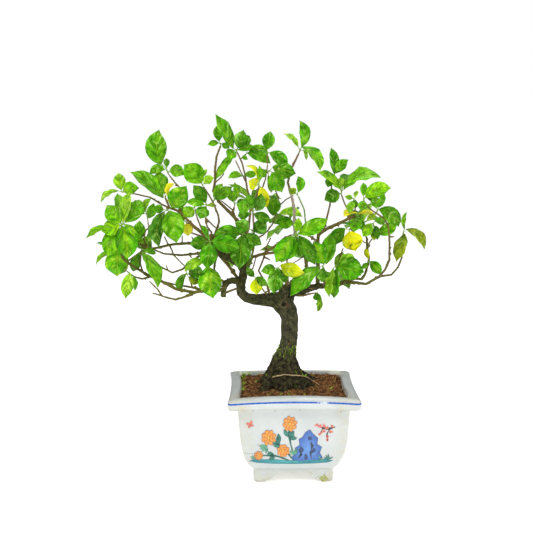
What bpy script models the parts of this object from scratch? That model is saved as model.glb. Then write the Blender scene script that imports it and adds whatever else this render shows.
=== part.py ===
"""Persimmon bonsai growing in a square footed porcelain pot.

Lengths are in millimetres in the tables and become metres through MM.  +Z is up, +Y runs away
from the front of the pot, the ground is z = 0 and the pot stands at x = POT_X under the trunk.
"""
import math

import bmesh
import bpy
from mathutils import Matrix, Vector
from mathutils.bvhtree import BVHTree

MM = 0.001
GAP = 0.32                      # between pieces that touch
POT_X = 44.0
POT_CORNER = 6.0                # plan radius of the outer corners
POT_BOW = 2.6                   # how far each side is drawn in at its middle
RIM_SAG = 2.2                   # corners of the rim sit this much lower than its middles
FLOOR_Z = 20.0                  # inside of the floor
ARCH_LOW, ARCH_HIGH, ARCH_Z = 35.0, 19.0, 12.4      # half widths of the arch between two feet
DRAIN_R = 8.0
MESH_SIZE, MESH_THICK = 34.0, 1.0
SOIL_EDGE_Z = 106.5
LEAF_THICK = 0.95
LEAF_FOLD = 0.13                # how deep the midrib lies below the edges, by width
LEAF_ARCH = 0.07                # rise of the midrib between base and tip, by length
STALK_HALF = 0.5
STEM_R = 0.95
SURFACE_ROOT_R = 0.75
SURFACE_ROOT = [(21, 120), (28, 122), (36, 123), (45, 122), (54, 121), (61, 119), (70, 113),
                (78, 108)]
EYE = Vector((-9.3, -1302.6, 437.3))    # station point of the perspective front elevation

# height and half width, outside from the soles up to the lip and inside from the lip down
POT_OUTSIDE = [(0, 47.6), (1.2, 48.6), (9, 49.3), (15.5, 49.0), (17.6, 50.6), (21, 53.8), (25, 56.6),
               (30, 59.0), (41, 62.7), (55, 65.1), (76, 66.9), (97.5, 68.4), (99.3, 71.0),
               (100.2, 77.0), (101.8, 79.4), (108.6, 80.0), (111.0, 79.0)]
POT_INSIDE = [(113.4, 70.0), (113.4, 67.6), (111.6, 66.2), (97, 64.4), (76, 62.4), (52, 60.0),
              (34, 54.0), (25, 47.0), (FLOOR_Z, 40.0)]

# trunk from the root ball up through the crook and along to the left: x, y, z, radius
TRUNK = [(36, 3, 48, 22), (36, 3, 70, 29), (36, 3, 100, 33.5), (36.5, 2, 107, 32.5),
         (36, 1, 114, 28.5), (35, 0, 122, 24.5), (34, 0, 130, 21.8), (34.5, 0, 137, 19.0),
         (35, 0, 144, 16.0), (36.6, 0, 151, 12.9), (38.6, 0, 160, 11.2), (40.4, 0, 170, 10.6),
         (40.6, 0, 182, 11.0), (40.6, 0, 194, 10.8), (39.0, 0, 203, 12.2), (33.5, 0, 212, 13.2),
         (23, 0, 218.5, 10.8), (11, 0, 218.6, 8.6), (-3, -1, 219.4, 6.9), (-13, -2, 221.6, 6.5),
         (-19.2, -3, 228, 6.4), (-20, -3, 238, 5.9), (-17.4, -2, 248, 5.6), (-16, -1, 259, 4.4)]
# old cuts and swellings: x, y, z, radius along each
LUMPS = [[(30, -4, 220, 7.5), (33, -4, 232, 6.0), (34, -4, 238, 4.2)],
         [(38, 4, 216, 8.0), (43, 4, 230, 6.4), (45, 4, 239, 4.6), (45, 4, 243, 3.2)],
         [(42.5, -7, 178, 4.5), (44.5, -9.5, 180, 3.0)],
         [(-17, 0, 232, 5.0), (-24, -4, 243, 4.2), (-27, -5, 246, 3.0)],
         [(2, -3, 219, 5.0), (0, -8, 216, 2.6)],
         [(-37, -11, 241, 4.6), (-41.5, -15, 241.5, 3.2)]]
# surface roots from the flare into the soil: x, y, z, radius
ROOTS = [[(24, -6, 129, 8.0), (15, -14, 118, 7.8), (9, -22, 108, 6.6), (4, -30, 96, 4.6)],
         [(20, 2, 127, 8.0), (12, 8, 115, 7.6), (6, 13, 105, 6.4), (2, 17, 94, 4.2)],
         [(34, -14, 120, 8.0), (32, -27, 109, 7.4), (30, -38, 99, 5.0), (29, -46, 90, 3.4)],
         [(46, -12, 120, 8.0), (56, -24, 108, 7.0), (66, -34, 98, 5.0), (73, -40, 91, 3.4)],
         [(52, 4, 124, 7.4), (64, 16, 113, 6.2), (76, 32, 106, 4.4), (88, 44, 99, 3.0)],
         [(56, -2, 116, 6.6), (70, -8, 106, 5.6), (83, -12, 99, 4.0), (94, -14, 93, 2.8)],
         [(38, 16, 122, 8.0), (34, 32, 109, 7.0), (30, 44, 99, 5.0), (28, 54, 91, 3.4)]]

# Branches, drawn in the front elevation: radii at start and end, sides, then x, y, z along it.
# Each begins inside the branch that bears it.
BRANCHES = {
    "upper_left": (5.4, 3.0, 8, [(-16.5, -1, 256), (-22, 0, 264), (-33, 3, 270), (-47, 5, 277),
                                 (-54, 2, 284), (-58, -4, 290)]),
    "left": (4.4, 3.0, 8, [(-19, -4, 241), (-31, -8, 243.0), (-36, -12, 241.0), (-40, -17, 236.0),
                           (-41.5, -20, 230), (-41.5, -21, 221.5)]),
    "left_long": (2.1, 0.95, 6, [(-41, -20, 231.5), (-66, -30, 230.5), (-77, -34, 228),
                                 (-100, -38, 232), (-117, -36, 241.5), (-135, -30, 250),
                                 (-152, -24, 260), (-165, -22, 270), (-169, -27, 285),
                                 (-167, -33, 300), (-166, -37, 309)]),
    "left_second": (1.4, 0.85, 5, [(-66, -30, 231), (-84, -24, 235), (-100, -16, 237.5),
                                   (-117, -8, 242), (-126, -2, 249)]),
    "left_low": (1.3, 0.85, 5, [(-131, -32, 248), (-142, -38, 245), (-152, -46, 248),
                                (-161, -52, 255)]),
    "left_front": (1.6, 0.85, 5, [(-76, -34, 228), (-91, -44, 222), (-101, -50, 219),
                                  (-113, -56, 222), (-123, -60, 225.4), (-129.5, -64, 227.5)]),
    "left_front_up": (1.1, 0.8, 5, [(-118, -58, 224), (-123, -55, 232), (-133, -49, 242)]),
    "left_spur": (1.0, 0.75, 5, [(-80, -26, 234), (-82, -26, 240)]),
    "straight": (1.9, 1.6, 6, [(-22, -2, 243), (-30, 2, 254.5), (-36.5, 5, 263), (-47, 5, 274)]),
    "hoop": (1.5, 1.2, 5, [(-37, -13, 239), (-45, -16, 244), (-50.5, -18, 251), (-53, -15, 257),
                           (-52, -8, 265), (-48, 4, 277)]),
    "low_link": (1.4, 1.3, 5, [(-40, -20, 227), (-33, -13, 230), (-21, -4, 234)]),
    "middle_long": (1.8, 1.0, 6, [(-56, -2, 288), (-70, 8, 290), (-91, 16, 289), (-104, 20, 288),
                                  (-127, 22, 283), (-140, 20, 281), (-151, 14, 273),
                                  (-158, 8, 268)]),
    "middle_fork": (1.1, 0.8, 5, [(-134, 21, 282), (-146, 24, 289)]),
    "middle_zigzag": (1.2, 0.8, 5, [(-136, 21, 281), (-139, 24, 296), (-137, 28, 305),
                                    (-133, 31, 309), (-134, 34, 319)]),
    "left_upright": (1.2, 0.85, 5, [(-141, -28, 253), (-144, -24, 264), (-143, -18, 279)]),
    "middle_up_a": (0.95, 0.75, 5, [(-92, 16, 288), (-92, 20, 299)]),
    "middle_up_b": (0.95, 0.75, 5, [(-109, 21, 287), (-114, 26, 298)]),
    "back_left": (1.7, 0.9, 6, [(-58, -1, 287), (-65, 6, 278), (-78, 22, 276), (-93, 34, 274.5),
                                (-114.5, 38, 276.4), (-126, 40, 281)]),
    "drooping": (1.5, 0.85, 5, [(-64, 4, 279), (-76, 0, 270), (-87, -6, 262), (-92, -10, 257),
                                (-104.5, -14, 252.8), (-117, -16, 259), (-127, -13, 265),
                                (-134, -9, 275)]),
    "drooping_spur": (0.9, 0.7, 5, [(-110, -15, 255), (-112, -18, 262)]),
    "thin_link": (1.0, 0.8, 5, [(-108, 21, 288), (-104.5, 16, 280), (-103, 12, 275),
                                (-94, 4, 265.5), (-89, -4, 261)]),
    "drop_a": (1.1, 0.85, 5, [(-65, 5, 278), (-63, -4, 270), (-62, -13, 265)]),
    "drop_b": (1.0, 0.8, 5, [(-87, -6, 262), (-87.5, -15, 254)]),
    "diagonal": (1.9, 1.1, 6, [(-57, -3, 288), (-66, 0, 300), (-78, 6, 311), (-90, 10, 323),
                               (-94, 12, 328), (-101, 15, 331), (-107, 16, 333),
                               (-112, 14, 345)]),
    "diagonal_b": (1.2, 0.8, 5, [(-63, -1, 296), (-80, 12, 302), (-93, 22, 309.5)]),
    "diagonal_c": (1.1, 0.8, 5, [(-66, 1, 301), (-78, 12, 309), (-90, 22, 318)]),
    "upright_a": (1.2, 0.8, 5, [(-65, 1, 300), (-71.5, -4, 315.6), (-74, -8, 323), (-76, -11, 332)]),
    "upright_b": (1.3, 0.85, 5, [(-57, -4, 290), (-56, -8, 303), (-61, -14, 309.5),
                                 (-63, -20, 317), (-62.7, -24, 324), (-62, -28, 334)]),
    "upright_link": (1.0, 0.8, 5, [(-62.5, -22, 320), (-54, -14, 311.5), (-48, 1, 306)]),
    "upright_c": (1.5, 0.9, 5, [(-57, -3, 290), (-52, 0, 300), (-46.4, 2, 315.6), (-47.5, 4, 324),
                                (-54, 6, 340.5), (-60, 6, 351), (-65.5, 6, 359)]),
    "tall_left": (1.3, 0.85, 5, [(-94, 12, 327), (-94, 20, 342), (-93, 25, 356), (-100, 28, 364),
                                 (-107, 30, 373)]),
    "far_left": (1.2, 0.8, 5, [(-105, 16, 332), (-116, 24, 337), (-130.5, 32, 346),
                               (-148, 36, 350), (-162, 36, 352)]),
    "centre": (2.6, 1.0, 6, [(-15.5, -1, 254), (-13, 4, 268), (-13, 8, 280), (-16, 10, 295),
                             (-18, 10, 308), (-29, 10, 323), (-38, 10, 332), (-47, 10, 341),
                             (-53, 10, 354), (-51, 12, 366), (-51, 14, 380), (-49, 16, 396),
                             (-44, 18, 409)]),
    "centre_side": (0.9, 0.7, 5, [(-51, 12, 364), (-44, 6, 370), (-40, 2, 375)]),
    "centre_back": (1.1, 0.8, 5, [(-23, 10, 315), (-30.5, 22, 331), (-44, 34, 342)]),
    "centre_spur": (0.9, 0.7, 5, [(-32, 10, 325), (-27, 3, 336)]),
    "middle_up": (1.6, 0.9, 5, [(-15, 9, 289), (-10, 6, 310), (-8, 4, 328), (-8, 4, 343),
                                (-12, 4, 357), (-14, 6, 372), (-18, 8, 388), (-24, 8, 401)]),
    "middle_up_fork": (0.9, 0.75, 5, [(-13, 5, 364), (-20, -6, 378), (-26, -8, 391)]),
    "front_up": (1.5, 0.85, 5, [(-10, -2, 259), (-5, -10, 279), (-3.5, -16, 290), (-4, -22, 311),
                                (-5, -24, 332), (0, -24, 351), (2.5, -24, 359)]),
    "front_fork": (1.0, 0.8, 5, [(-1.5, -24, 346), (6, -18, 355), (10.5, -12, 368),
                                 (13, -8, 384), (12.5, -6, 399)]),
    "inner": (2.1, 1.4, 6, [(-14, -1, 256), (-6, -4, 272), (8, -6, 276), (22, -8, 277.5)]),
    "inner_right": (1.5, 1.0, 5, [(7, -6, 275.5), (21, -12, 285), (33, -22, 295), (43, -30, 299.5)]),
    "inner_up": (1.1, 0.8, 5, [(-3, -17, 294), (7, -8, 299), (13.5, 0, 305), (20, 6, 314),
                               (22, 10, 322), (28, 14, 338), (24, 16, 352), (19, 18, 360)]),
    "inner_cross": (0.9, 0.7, 5, [(27, 14, 335), (35.5, 8, 343), (45, 3, 348)]),
    "low_up": (1.4, 0.9, 5, [(16, -3, 224), (13, -10, 236), (7, -14, 246), (2, -16, 255),
                             (5, -12, 262), (8, -7, 270), (10, -5, 277), (12, 2, 285),
                             (17, 8, 296)]),
    "low_front": (1.1, 0.8, 5, [(12, -5, 225), (6, -16, 233), (2, -22, 238.5), (-1, -26, 245)]),
    "low_arc": (1.0, 0.8, 5, [(-15, -3, 248), (-5, -10, 258), (-1, -7, 272)]),
    "crook_up": (1.3, 0.85, 5, [(36, -6, 236), (35, -14, 248), (28, -24, 257)]),
    "right": (5.6, 2.3, 8, [(33, 1, 224), (48, 4, 228), (57, 6, 229), (66, 6, 233), (76, 4, 235.5),
                            (97, 0, 236), (113, -4, 242)]),
    "right_low": (1.9, 1.4, 6, [(109, -3, 240), (121.5, -10, 240), (135.6, -14, 238),
                                (146, -12, 244), (154, -10, 248)]),
    "right_high": (1.8, 0.9, 6, [(110, -4, 241), (122, 4, 245), (130, 10, 244), (134, 14, 250),
                                 (138, 18, 264), (139, 20, 272), (136, 22, 283),
                                 (135.5, 24, 297)]),
    "right_fork": (1.0, 0.8, 5, [(136, 22, 284), (140.4, 18, 292), (145.7, 14, 298)]),
    "right_rise": (1.5, 0.85, 5, [(151, -11, 246.5), (159, -14, 256), (164, -16, 268),
                                  (164, -16, 290), (162, -14, 311), (156.5, -12, 320),
                                  (142, -8, 329.5), (136.6, -5, 334), (132, -3, 341)]),
    "far_right": (1.4, 0.85, 5, [(152, -10, 247.5), (167, -6, 249.5), (175, -4, 259),
                                 (179.5, -2, 271), (179, 0, 287), (180, 2, 299)]),
    "under_right": (1.4, 0.85, 5, [(44, 1, 224), (58, 0, 223.5), (67, -4, 226), (73, -10, 227)]),
    "right_up": (2.2, 1.0, 6, [(62, 6, 231), (63, 0, 250), (60, -6, 271), (56, -10, 286),
                               (48, -14, 296), (46, -14, 311), (46, -14, 330), (43, -14, 346),
                               (38, -12, 364), (42, -10, 380), (51, -8, 399)]),
    "right_up_thorn": (0.9, 0.6, 5, [(58, -6, 273), (51, -13, 268), (44.5, -18, 264)]),
    "right_up_shoot": (1.1, 0.75, 5, [(48, -14, 297), (60, -22, 312), (58.5, -24, 330),
                                      (51, -24, 347)]),
    "arm": (2.6, 1.6, 6, [(75, 4, 234), (76, 10, 252), (75, 16, 275), (75, 18, 289),
                          (76, 18, 300), (88, 16, 308), (104, 14, 315), (116, 12, 321),
                          (121.5, 12, 321.5)]),
    "arm_left": (1.2, 0.85, 5, [(114, 12, 319), (111.5, 18, 331), (107.5, 22, 339),
                                (103.5, 24, 350)]),
    "arm_tall": (1.4, 0.85, 5, [(82, 17, 304), (86, 24, 320), (90, 30, 337), (91, 34, 354),
                                (93, 36, 370)]),
    "arm_front": (1.2, 0.8, 5, [(114, 12, 320), (116, 4, 311), (117, -2, 305), (129, -10, 293),
                                (134.5, -12, 289)]),
    "arm_end": (1.1, 0.8, 5, [(119, 12, 321), (121, 4, 332), (119.5, 0, 341)]),
    "mid_right": (1.4, 0.85, 5, [(100, 0, 235.5), (100, -12, 250), (101, -18, 262),
                                 (102.5, -16, 270), (106.5, -12, 283)]),
    "hook": (1.2, 0.85, 5, [(81, 3, 235), (85.5, -10, 244), (86.5, -20, 249), (84, -26, 256)]),
    "whorl_spur_a": (1.3, 0.9, 5, [(-57, -2, 289), (-58, -20, 291)]),
    "whorl_spur_b": (1.1, 0.85, 5, [(-15, 9, 289), (-17, -4, 298), (-17.5, -14, 301)]),
    "rear_a": (1.5, 0.85, 5, [(-33, 3, 270), (-36, 20, 277), (-37, 36, 282)]),
    "rear_b": (1.8, 0.9, 5, [(38, 5, 232), (38, 22, 252), (37, 38, 270)]),
    "rear_c": (1.6, 0.85, 5, [(90, 1, 235.5), (95, 20, 243), (98, 36, 250)]),
    "rear_d": (1.3, 0.8, 5, [(75, 18, 291), (58, 30, 303), (43, 39, 312)]),
    "rear_e": (1.3, 0.8, 5, [(-16, 10, 296), (-10, 28, 316), (-6, 39, 336)]),
    "rear_g": (1.2, 0.8, 5, [(137, 22, 280), (136, 32, 294), (130, 40, 308)]),
}

# Leafy shoots at the ends and sides of the branches: the stem (x, y, z), then for each leaf the
# foot and the tip of its blade (x, z), how far the tip reaches back (+) or forward (-), the
# breadth that shows from the front and, where the midrib curves, how far its middle lies to the
# left of the line from foot to tip.
SHOOTS = {
    "shoot_left_whorl": ([(-166, -37, 309), (-166, -46, 312)], [
        (-163, 313, -150, 297, -10, 7, 1), (-170, 310, -184, 272, -8, 19, -3),
        (-166, 310, -161, 269, -14, 24, 3), (-169, 312, -191, 304, -4, 17), (-185, 310, -211, 296, 8, 7),
        (-164, 316, -156, 353, 8, 13), (-168, 315, -184, 337, -2, 18), (-167, 317, -170, 352, 14, 14),
        (-161, 316, -144, 344, 10, 18, -2)]),
    "shoot_left_outer": ([(-168.5, -29, 290), (-172, -19, 289), (-178, -14, 288)], [
        (-171, 287, -173, 247.5, 8, 26), (-182, 287, -198, 290, 14, 4), (-180, 278, -199, 262, 6, 5, -2)]),
    "shoot_left_tip": ([(-161, -52, 255), (-164, -56, 257)], [
        (-157, 252, -163, 220, -10, 13, -1), (-153, 248, -151, 230, 6, 6)]),
    "shoot_left_low": ([(-143, -18, 279), (-142, -16, 282)], [
        (-140, 277, -122, 234, -30, 15), (-146, 276, -153, 254, 10, 12),
        (-139, 281, -124, 277, 12, 7)]),
    "shoot_left_mid": ([(-146, 24, 289), (-148, 25, 291)], [
        (-146, 292, -144, 318, 6, 14), (-144, 290, -129, 296, 14, 8)]),
    "shoot_left_top_a": ([(-162, 36, 352), (-166, 36, 353)], [
        (-166, 356, -169, 376, 6, 14), (-163, 354, -144, 357, -12, 15, 2),
        (-170, 354, -191, 340, -6, 6, -3)]),
    "shoot_left_top_b": ([(-134, 34, 319), (-135, 34, 326)], [
        (-132, 321, -126, 339, -12, 11), (-139, 326, -150, 343, 10, 13),
        (-137, 329, -129, 345, 14, 7, 3)]),
    "shoot_crown_left_a": ([(-112, 14, 345), (-112, 13, 348)], [
        (-115, 346, -154, 378, -8, 17, -1), (-113, 351, -119, 378, 12, 18, 2),
        (-109, 348, -100, 363, 4, 6, 4)]),
    "shoot_crown_left_b": ([(-107, 30, 373), (-109, 30, 377), (-111, 30, 382)], [
        (-113, 380, -131, 374, -8, 11, -4), (-110, 383, -110, 394, 10, 7),
        (-106, 378, -88, 373, -12, 14, 3), (-117, 387, -118.5, 428.5, -6, 24, 4.5)]),
    "shoot_crown_left_c": ([(-109, 17.5, 332), (-110, 12, 330)], [
        (-114, 328, -121, 284, -10, 16, -4), (-107, 329, -99, 289.5, -22, 25),
        (-104, 334, -86, 360, -14, 23), (-115, 331, -127, 333, -6, 10)]),
    "shoot_inner_left_a": ([(-76, -11, 332), (-77, -12, 335)], [
        (-79, 333, -90, 322, -10, 14), (-75, 337, -64, 350, 12, 9)]),
    "shoot_inner_left_b": ([(-86, 18, 316), (-87, 12, 315)], [
        (-86, 314, -85, 298, -6, 12), (-90, 318, -92, 336, 10, 12)]),
    "shoot_inner_left_c": ([(-62, -28, 334), (-62, -31, 338)], [
        (-63, 340, -78, 361, -4, 14, -1), (-64, 334, -70, 319.5, -12, 15),
        (-65, 337, -87, 340, -14, 9, -1), (-60, 337, -52, 334, -14, 5)]),
    "shoot_crown_left_e": ([(-65.5, 6, 359), (-67, 6, 362)], [
        (-68, 364, -89, 386, -6, 23, -1), (-64, 363, -52, 370, -8, 10, 2),
        (-68, 368, -61, 381, 12, 6)]),
    "shoot_crown_mid_a": ([(-54, 6, 340.5), (-52, 3, 343)], [
        (-51, 344, -30, 359, -10, 13), (-53, 347, -42, 363, 12, 9)]),
    "shoot_crown_top_a": ([(-44, 18, 409), (-44, 17, 412)], [
        (-46, 415, -48, 434, 2, 11), (-47, 412, -60, 410, -8, 7, -1), (-42, 411, -33, 406, -8, 7)]),
    "shoot_crown_top_b": ([(-24, 8, 401), (-25, 6, 404)], [
        (-29, 406, -49.5, 447.5, 0, 14, 3), (-28, 403, -36, 394, -14, 13), (-23, 407, -16, 428, -10, 16),
        (-22, 404, -4, 409, 4, 8), (-28, 399, -51, 368, 8, 9, 3), (-22, 407, -8, 421, 10, 12)]),
    "shoot_crown_top_c": ([(-20, 8.5, 392), (-16, 11, 396), (-13, 12, 399)], [
        (-11, 400, 17, 387, -12, 13, 2), (-11, 404, 14, 398, 10, 12, 3), (-17, 396, -11, 392, -10, 5)]),
    "shoot_centre_spur": ([(-27, 3, 336), (-27.5, 0, 339)], [
        (-29, 341, -31, 355, -4, 11), (-26, 343, -27, 365, 6, 7), (-24, 339, -16, 344, -8, 5)]),
    "shoot_crown_mid_c": ([(-14, 6, 371), (-17, 2, 372)], [
        (-19, 372, -35, 369, -10, 8, -3), (-14, 374, 1, 375, -8, 8)]),
    "shoot_crown_right_a": ([(12.5, -6, 399), (13, -6, 402)], [
        (12.5, 405, 17, 426.5, -4, 14), (16, 400, 37, 382, -8, 14, 3)]),
    "shoot_crown_right_b": ([(12, -10, 376), (16, -13, 379)], [
        (20, 383, 48, 375, -6, 18), (19, 376, 31, 352, -12, 18), (11, 379, 3, 373, 4, 10),
        (14, 372, 18, 351, 6, 8)]),
    "shoot_yellow_a": ([(2.5, -24, 359), (2.5, -25, 362)], [
        (1, 367, -13.5, 385, -2, 5, -4), (3, 366, 3, 385, 8, 6), (0, 361, -10, 366, -10, 14),
        (5, 358, 12, 333, -6, 12)]),
    "shoot_crown_right_c": ([(51, -8, 399), (53, -8, 404)], [
        (55, 408, 52, 439.5, -4, 12, -4), (56, 407, 78, 378, -8, 12, 5), (50, 408, 33, 424, 6, 6, -1),
        (57, 403, 61, 391, 10, 4)]),
    "shoot_mid_right_b": ([(51, -24, 347), (49, -25, 350)], [
        (47, 351, 40, 357, -6, 8), (51, 353, 50, 372, 4, 10, -3)]),
    "shoot_mid_right_c": ([(22, 10, 322), (24, 4, 321)], [
        (20, 324, 21, 348, -2, 16), (28, 326, 56, 322, -12, 10, 3), (25, 316, 46, 314, -4, 14)]),
    "shoot_centre_a": ([(-4.8, -24, 329), (-6, -29, 330)], [
        (-9, 334, -25, 337, -8, 16), (-3, 325, 18, 317, -12, 11), (-1, 330, 5, 351, -10, 13, -2),
        (-9, 326, -24, 323, 6, 10), (-4, 333, -11, 350, 10, 10)]),
    "shoot_centre_b": ([(-4, -20, 304), (-7, -24, 306)], [
        (-11, 307, -27, 315, -10, 16), (-3, 304, 12, 316, -6, 16), (-6, 301, -4, 284, 4, 12)]),
    "shoot_left_centre_whorl": ([(-58, -20, 291), (-58, -30, 291.5)], [
        (-55, 292, -21, 283, -10, 19, 1), (-62, 292, -83, 288, -8, 15), (-58, 289, -62, 257, -16, 19),
        (-60, 295, -69, 312, -10, 6)]),
    "shoot_left_under_a": ([(-62, -13, 265), (-62, -18, 262)], [
        (-61, 260, -54.5, 220, -14, 26), (-65, 267, -90, 254, -12, 11, -3)]),
    "shoot_left_under_b": ([(-87.5, -15, 254), (-87, -20, 251)], [
        (-84, 251, -66, 252, -12, 16, 2), (-88, 251, -93.5, 227, -8, 9, -4),
        (-84, 247, -72, 239, -6, 10)]),
    "shoot_trunk_whorl": ([(-17.5, -14, 301), (-17.5, -24, 302)], [
        (-20, 301, -53, 299, -8, 15, -3), (-18, 298, -22, 257, -16, 23), (-15, 299, -8, 279, 4, 13),
        (-14, 300, 6, 287, -10, 13)]),
    "shoot_yellow_b": ([(-1, -26, 245), (-2, -29, 246)], [
        (-2, 244, 0, 225, -8, 14), (0, 247, 13, 236, -10, 9), (-4, 248, -13, 259, -6, 8)]),
    "shoot_trunk_front": ([(28, -24, 257), (26, -29, 259)], [
        (25, 257, 20, 226, -12, 18), (22, 258, 5, 254, -10, 12), (28, 256, 36, 240, 6, 11),
        (30, 262, 59, 252, -12, 16, -2)]),
    "shoot_right_whorl": ([(43, -30, 299.5), (47, -38, 300)], [
        (44, 297, 23, 265, -10, 19), (46, 296, 38, 268, 6, 15), (52, 298, 73, 262, -10, 16, -1),
        (52, 301, 88, 319.5, -8, 17), (49, 304, 51, 321, -8, 9, -1), (50, 296, 54, 272, 8, 11)]),
    "shoot_right_low_a": ([(84, -26, 256), (81, -33, 261)], [
        (83, 264, 70, 292, -6, 19), (86, 264, 90, 302, 8, 16, -1), (81, 257, 79, 242, -10, 14),
        (76, 260, 41, 223, -14, 18)]),
    "shoot_right_low_b": ([(101.5, -17.5, 264), (97, -24, 261)], [
        (95, 258, 89.5, 220.5, -8, 9, 1), (99, 257, 95, 219.5, 10, 14, 1), (100, 260, 133, 253, -8, 25),
        (102, 266, 123, 265, 8, 8, 5)]),
    "shoot_right_under": ([(73, -10, 227), (76, -11, 227)], [
        (73, 226, 76, 217, -6, 9), (78, 224, 75, 203, 4, 7, 3)]),
    "shoot_right_mid_b": ([(116.5, 1, 308), (114, -5, 306)], [
        (114, 303, 122, 279, -8, 23), (108, 307, 97, 286, 4, 16, -4)]),
    "shoot_crown_right_d": ([(103.5, 24, 350), (104, 23, 353)], [
        (107, 356, 152.5, 370, -10, 14, 8), (101, 357, 73.5, 377, -6, 9, -2), (103, 357, 98, 369, 8, 14),
        (106, 360, 109, 375, 10, 12), (101, 350, 83, 342, -10, 16, -1)]),
    "shoot_crown_right_e": ([(93, 36, 370), (93.5, 36, 373)], [
        (95, 375, 91, 407, 4, 11), (97, 376, 112, 392, -6, 12, 2), (91, 370, 87, 358, -6, 10)]),
    "shoot_right_top_a": ([(132, -3, 341), (131, -3, 344)], [
        (134, 346, 165, 357, -6, 17, 4), (131, 348, 131, 364, 4, 8), (131, 341, 129, 329, -8, 11),
        (135, 346, 147, 344, 8, 8)]),
    "shoot_right_top_b": ([(147, -9.5, 327), (149, -13, 330)], [
        (150, 334, 156, 352, -4, 7, -2), (151, 331, 175, 309, -6, 17, 5), (147, 333, 145, 347, 8, 11),
        (146, 325, 135, 318, -10, 7)]),
    "shoot_right_mid_c": ([(145.7, 14, 298), (146, 10, 305), (143, 4, 314)], [
        (149, 302, 173, 315, -6, 14, -2), (144, 306, 145, 292, -8, 8), (141, 313, 131, 297, -6, 12),
        (146, 317, 160, 317, 8, 10), (147, 310, 149, 293, 6, 9)]),
    "shoot_yellow_c": ([(121.5, 12, 321.5), (125, 8, 322)], [
        (125, 325, 145, 321, -12, 5, 3), (122, 320, 120, 303, -8, 15), (127, 320, 130, 305, 6, 9),
        (122, 326, 107, 322, -26, 6, -2)]),
    "shoot_right_top_c": ([(119.5, 0, 341), (119, -1, 344)], [
        (118, 341, 114, 326, -8, 9), (121, 346, 123, 354, 12, 5), (117, 345, 108, 347, -10, 6),
        (121, 342, 121, 332, -2, 7)]),
    "shoot_far_right": ([(180, 2, 299), (181, 2, 303)], [
        (185, 306, 207.8, 281, -4, 10, 4), (182, 300, 172, 266, -16, 14, 2), (182, 307, 184, 328, 4, 5)]),
    "shoot_right_inner": ([(138.4, 18.5, 266), (139, 12, 267)], [
        (141, 266, 154, 249.5, -10, 12, 1), (137, 264, 130, 257, -6, 6), (138, 270, 134, 283, 6, 6)]),
}
# Whorls on the branches at the back: which branch end they close, how many leaves, leaf length
# and the turn of the first leaf round the stem.
REAR_WHORLS = {"back_left": (5, 38, 0), "rear_a": (5, 33, 20), "rear_b": (4, 36, 45),
               "rear_c": (4, 32, 10), "rear_d": (4, 36, 50), "rear_e": (5, 38, 35),
               "rear_g": (5, 36, 80)}


TRIES = []


def seen(point):
    """Carry a point of the front elevation to its depth y, along its sight line."""
    x, y, z = point
    return (EYE + (Vector((x, 0, z)) - EYE) * ((y - EYE.y) / -EYE.y)) * MM


def plastic(name, color, roughness, coat=0.0):
    """A Principled material of one colour."""
    mat = bpy.data.materials.new(name)
    mat.use_nodes = True
    shader = mat.node_tree.nodes["Principled BSDF"]
    shader.inputs["Base Color"].default_value = (*color, 1)
    shader.inputs["Roughness"].default_value = roughness
    shader.inputs["Coat Weight"].default_value = coat
    mat.diffuse_color = (*color, 1)
    return mat


def make_object(name, mesh, mat, angle=35):
    """Link a finished mesh as one named piece."""
    mesh.name = name
    mesh.materials.clear()
    mesh.materials.append(mat)
    mesh.shade_smooth()
    mesh.set_sharp_from_angle(angle=math.radians(angle))
    obj = bpy.data.objects.new(name, mesh)
    bpy.context.collection.objects.link(obj)
    return obj


def mesh_of(bm):
    """Close off an edit mesh with its faces pointing out."""
    bmesh.ops.recalc_face_normals(bm, faces=bm.faces)
    mesh = bpy.data.meshes.new("piece")
    bm.to_mesh(mesh)
    bm.free()
    return mesh


def grow(bm, rings, tip=None):
    """Extrude the first ring through the others; a tip draws the last one to a point."""
    first = face = bm.faces.new([bm.verts.new(p) for p in rings[0]])
    for ring in rings[1:] + ([[tip] * len(rings[0])] if tip else []):
        new = bmesh.ops.extrude_face_region(bm, geom=[face])["geom"]
        if face != first:
            bmesh.ops.delete(bm, geom=[face], context="FACES_ONLY")
        face = next(item for item in new if isinstance(item, bmesh.types.BMFace))
        for vert, place in zip(face.verts, ring):
            vert.co = place
    if tip:
        bmesh.ops.pointmerge(bm, verts=list(face.verts), merge_co=tip)


def tube(points, radii, sides):
    """A closed tapering tube along the points, as a poly curve with round bevel."""
    curve = bpy.data.curves.new("tube", "CURVE")
    curve.dimensions = "3D"
    curve.bevel_depth = 1.0
    curve.bevel_resolution = max(0, (sides - 4) // 2)
    curve.use_fill_caps = True
    spline = curve.splines.new("POLY")
    spline.points.add(len(points) - 1)
    for place, radius, spot in zip(points, radii, spline.points):
        spot.co = (*place, 1)
        spot.radius = radius
    obj = bpy.data.objects.new("tube", curve)
    bpy.context.collection.objects.link(obj)
    bpy.context.view_layer.update()
    bm = bmesh.new()
    bm.from_mesh(obj.to_mesh())
    bmesh.ops.remove_doubles(bm, verts=bm.verts, dist=1e-6)
    bpy.data.objects.remove(obj)
    bpy.data.curves.remove(curve)
    return mesh_of(bm)


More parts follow.
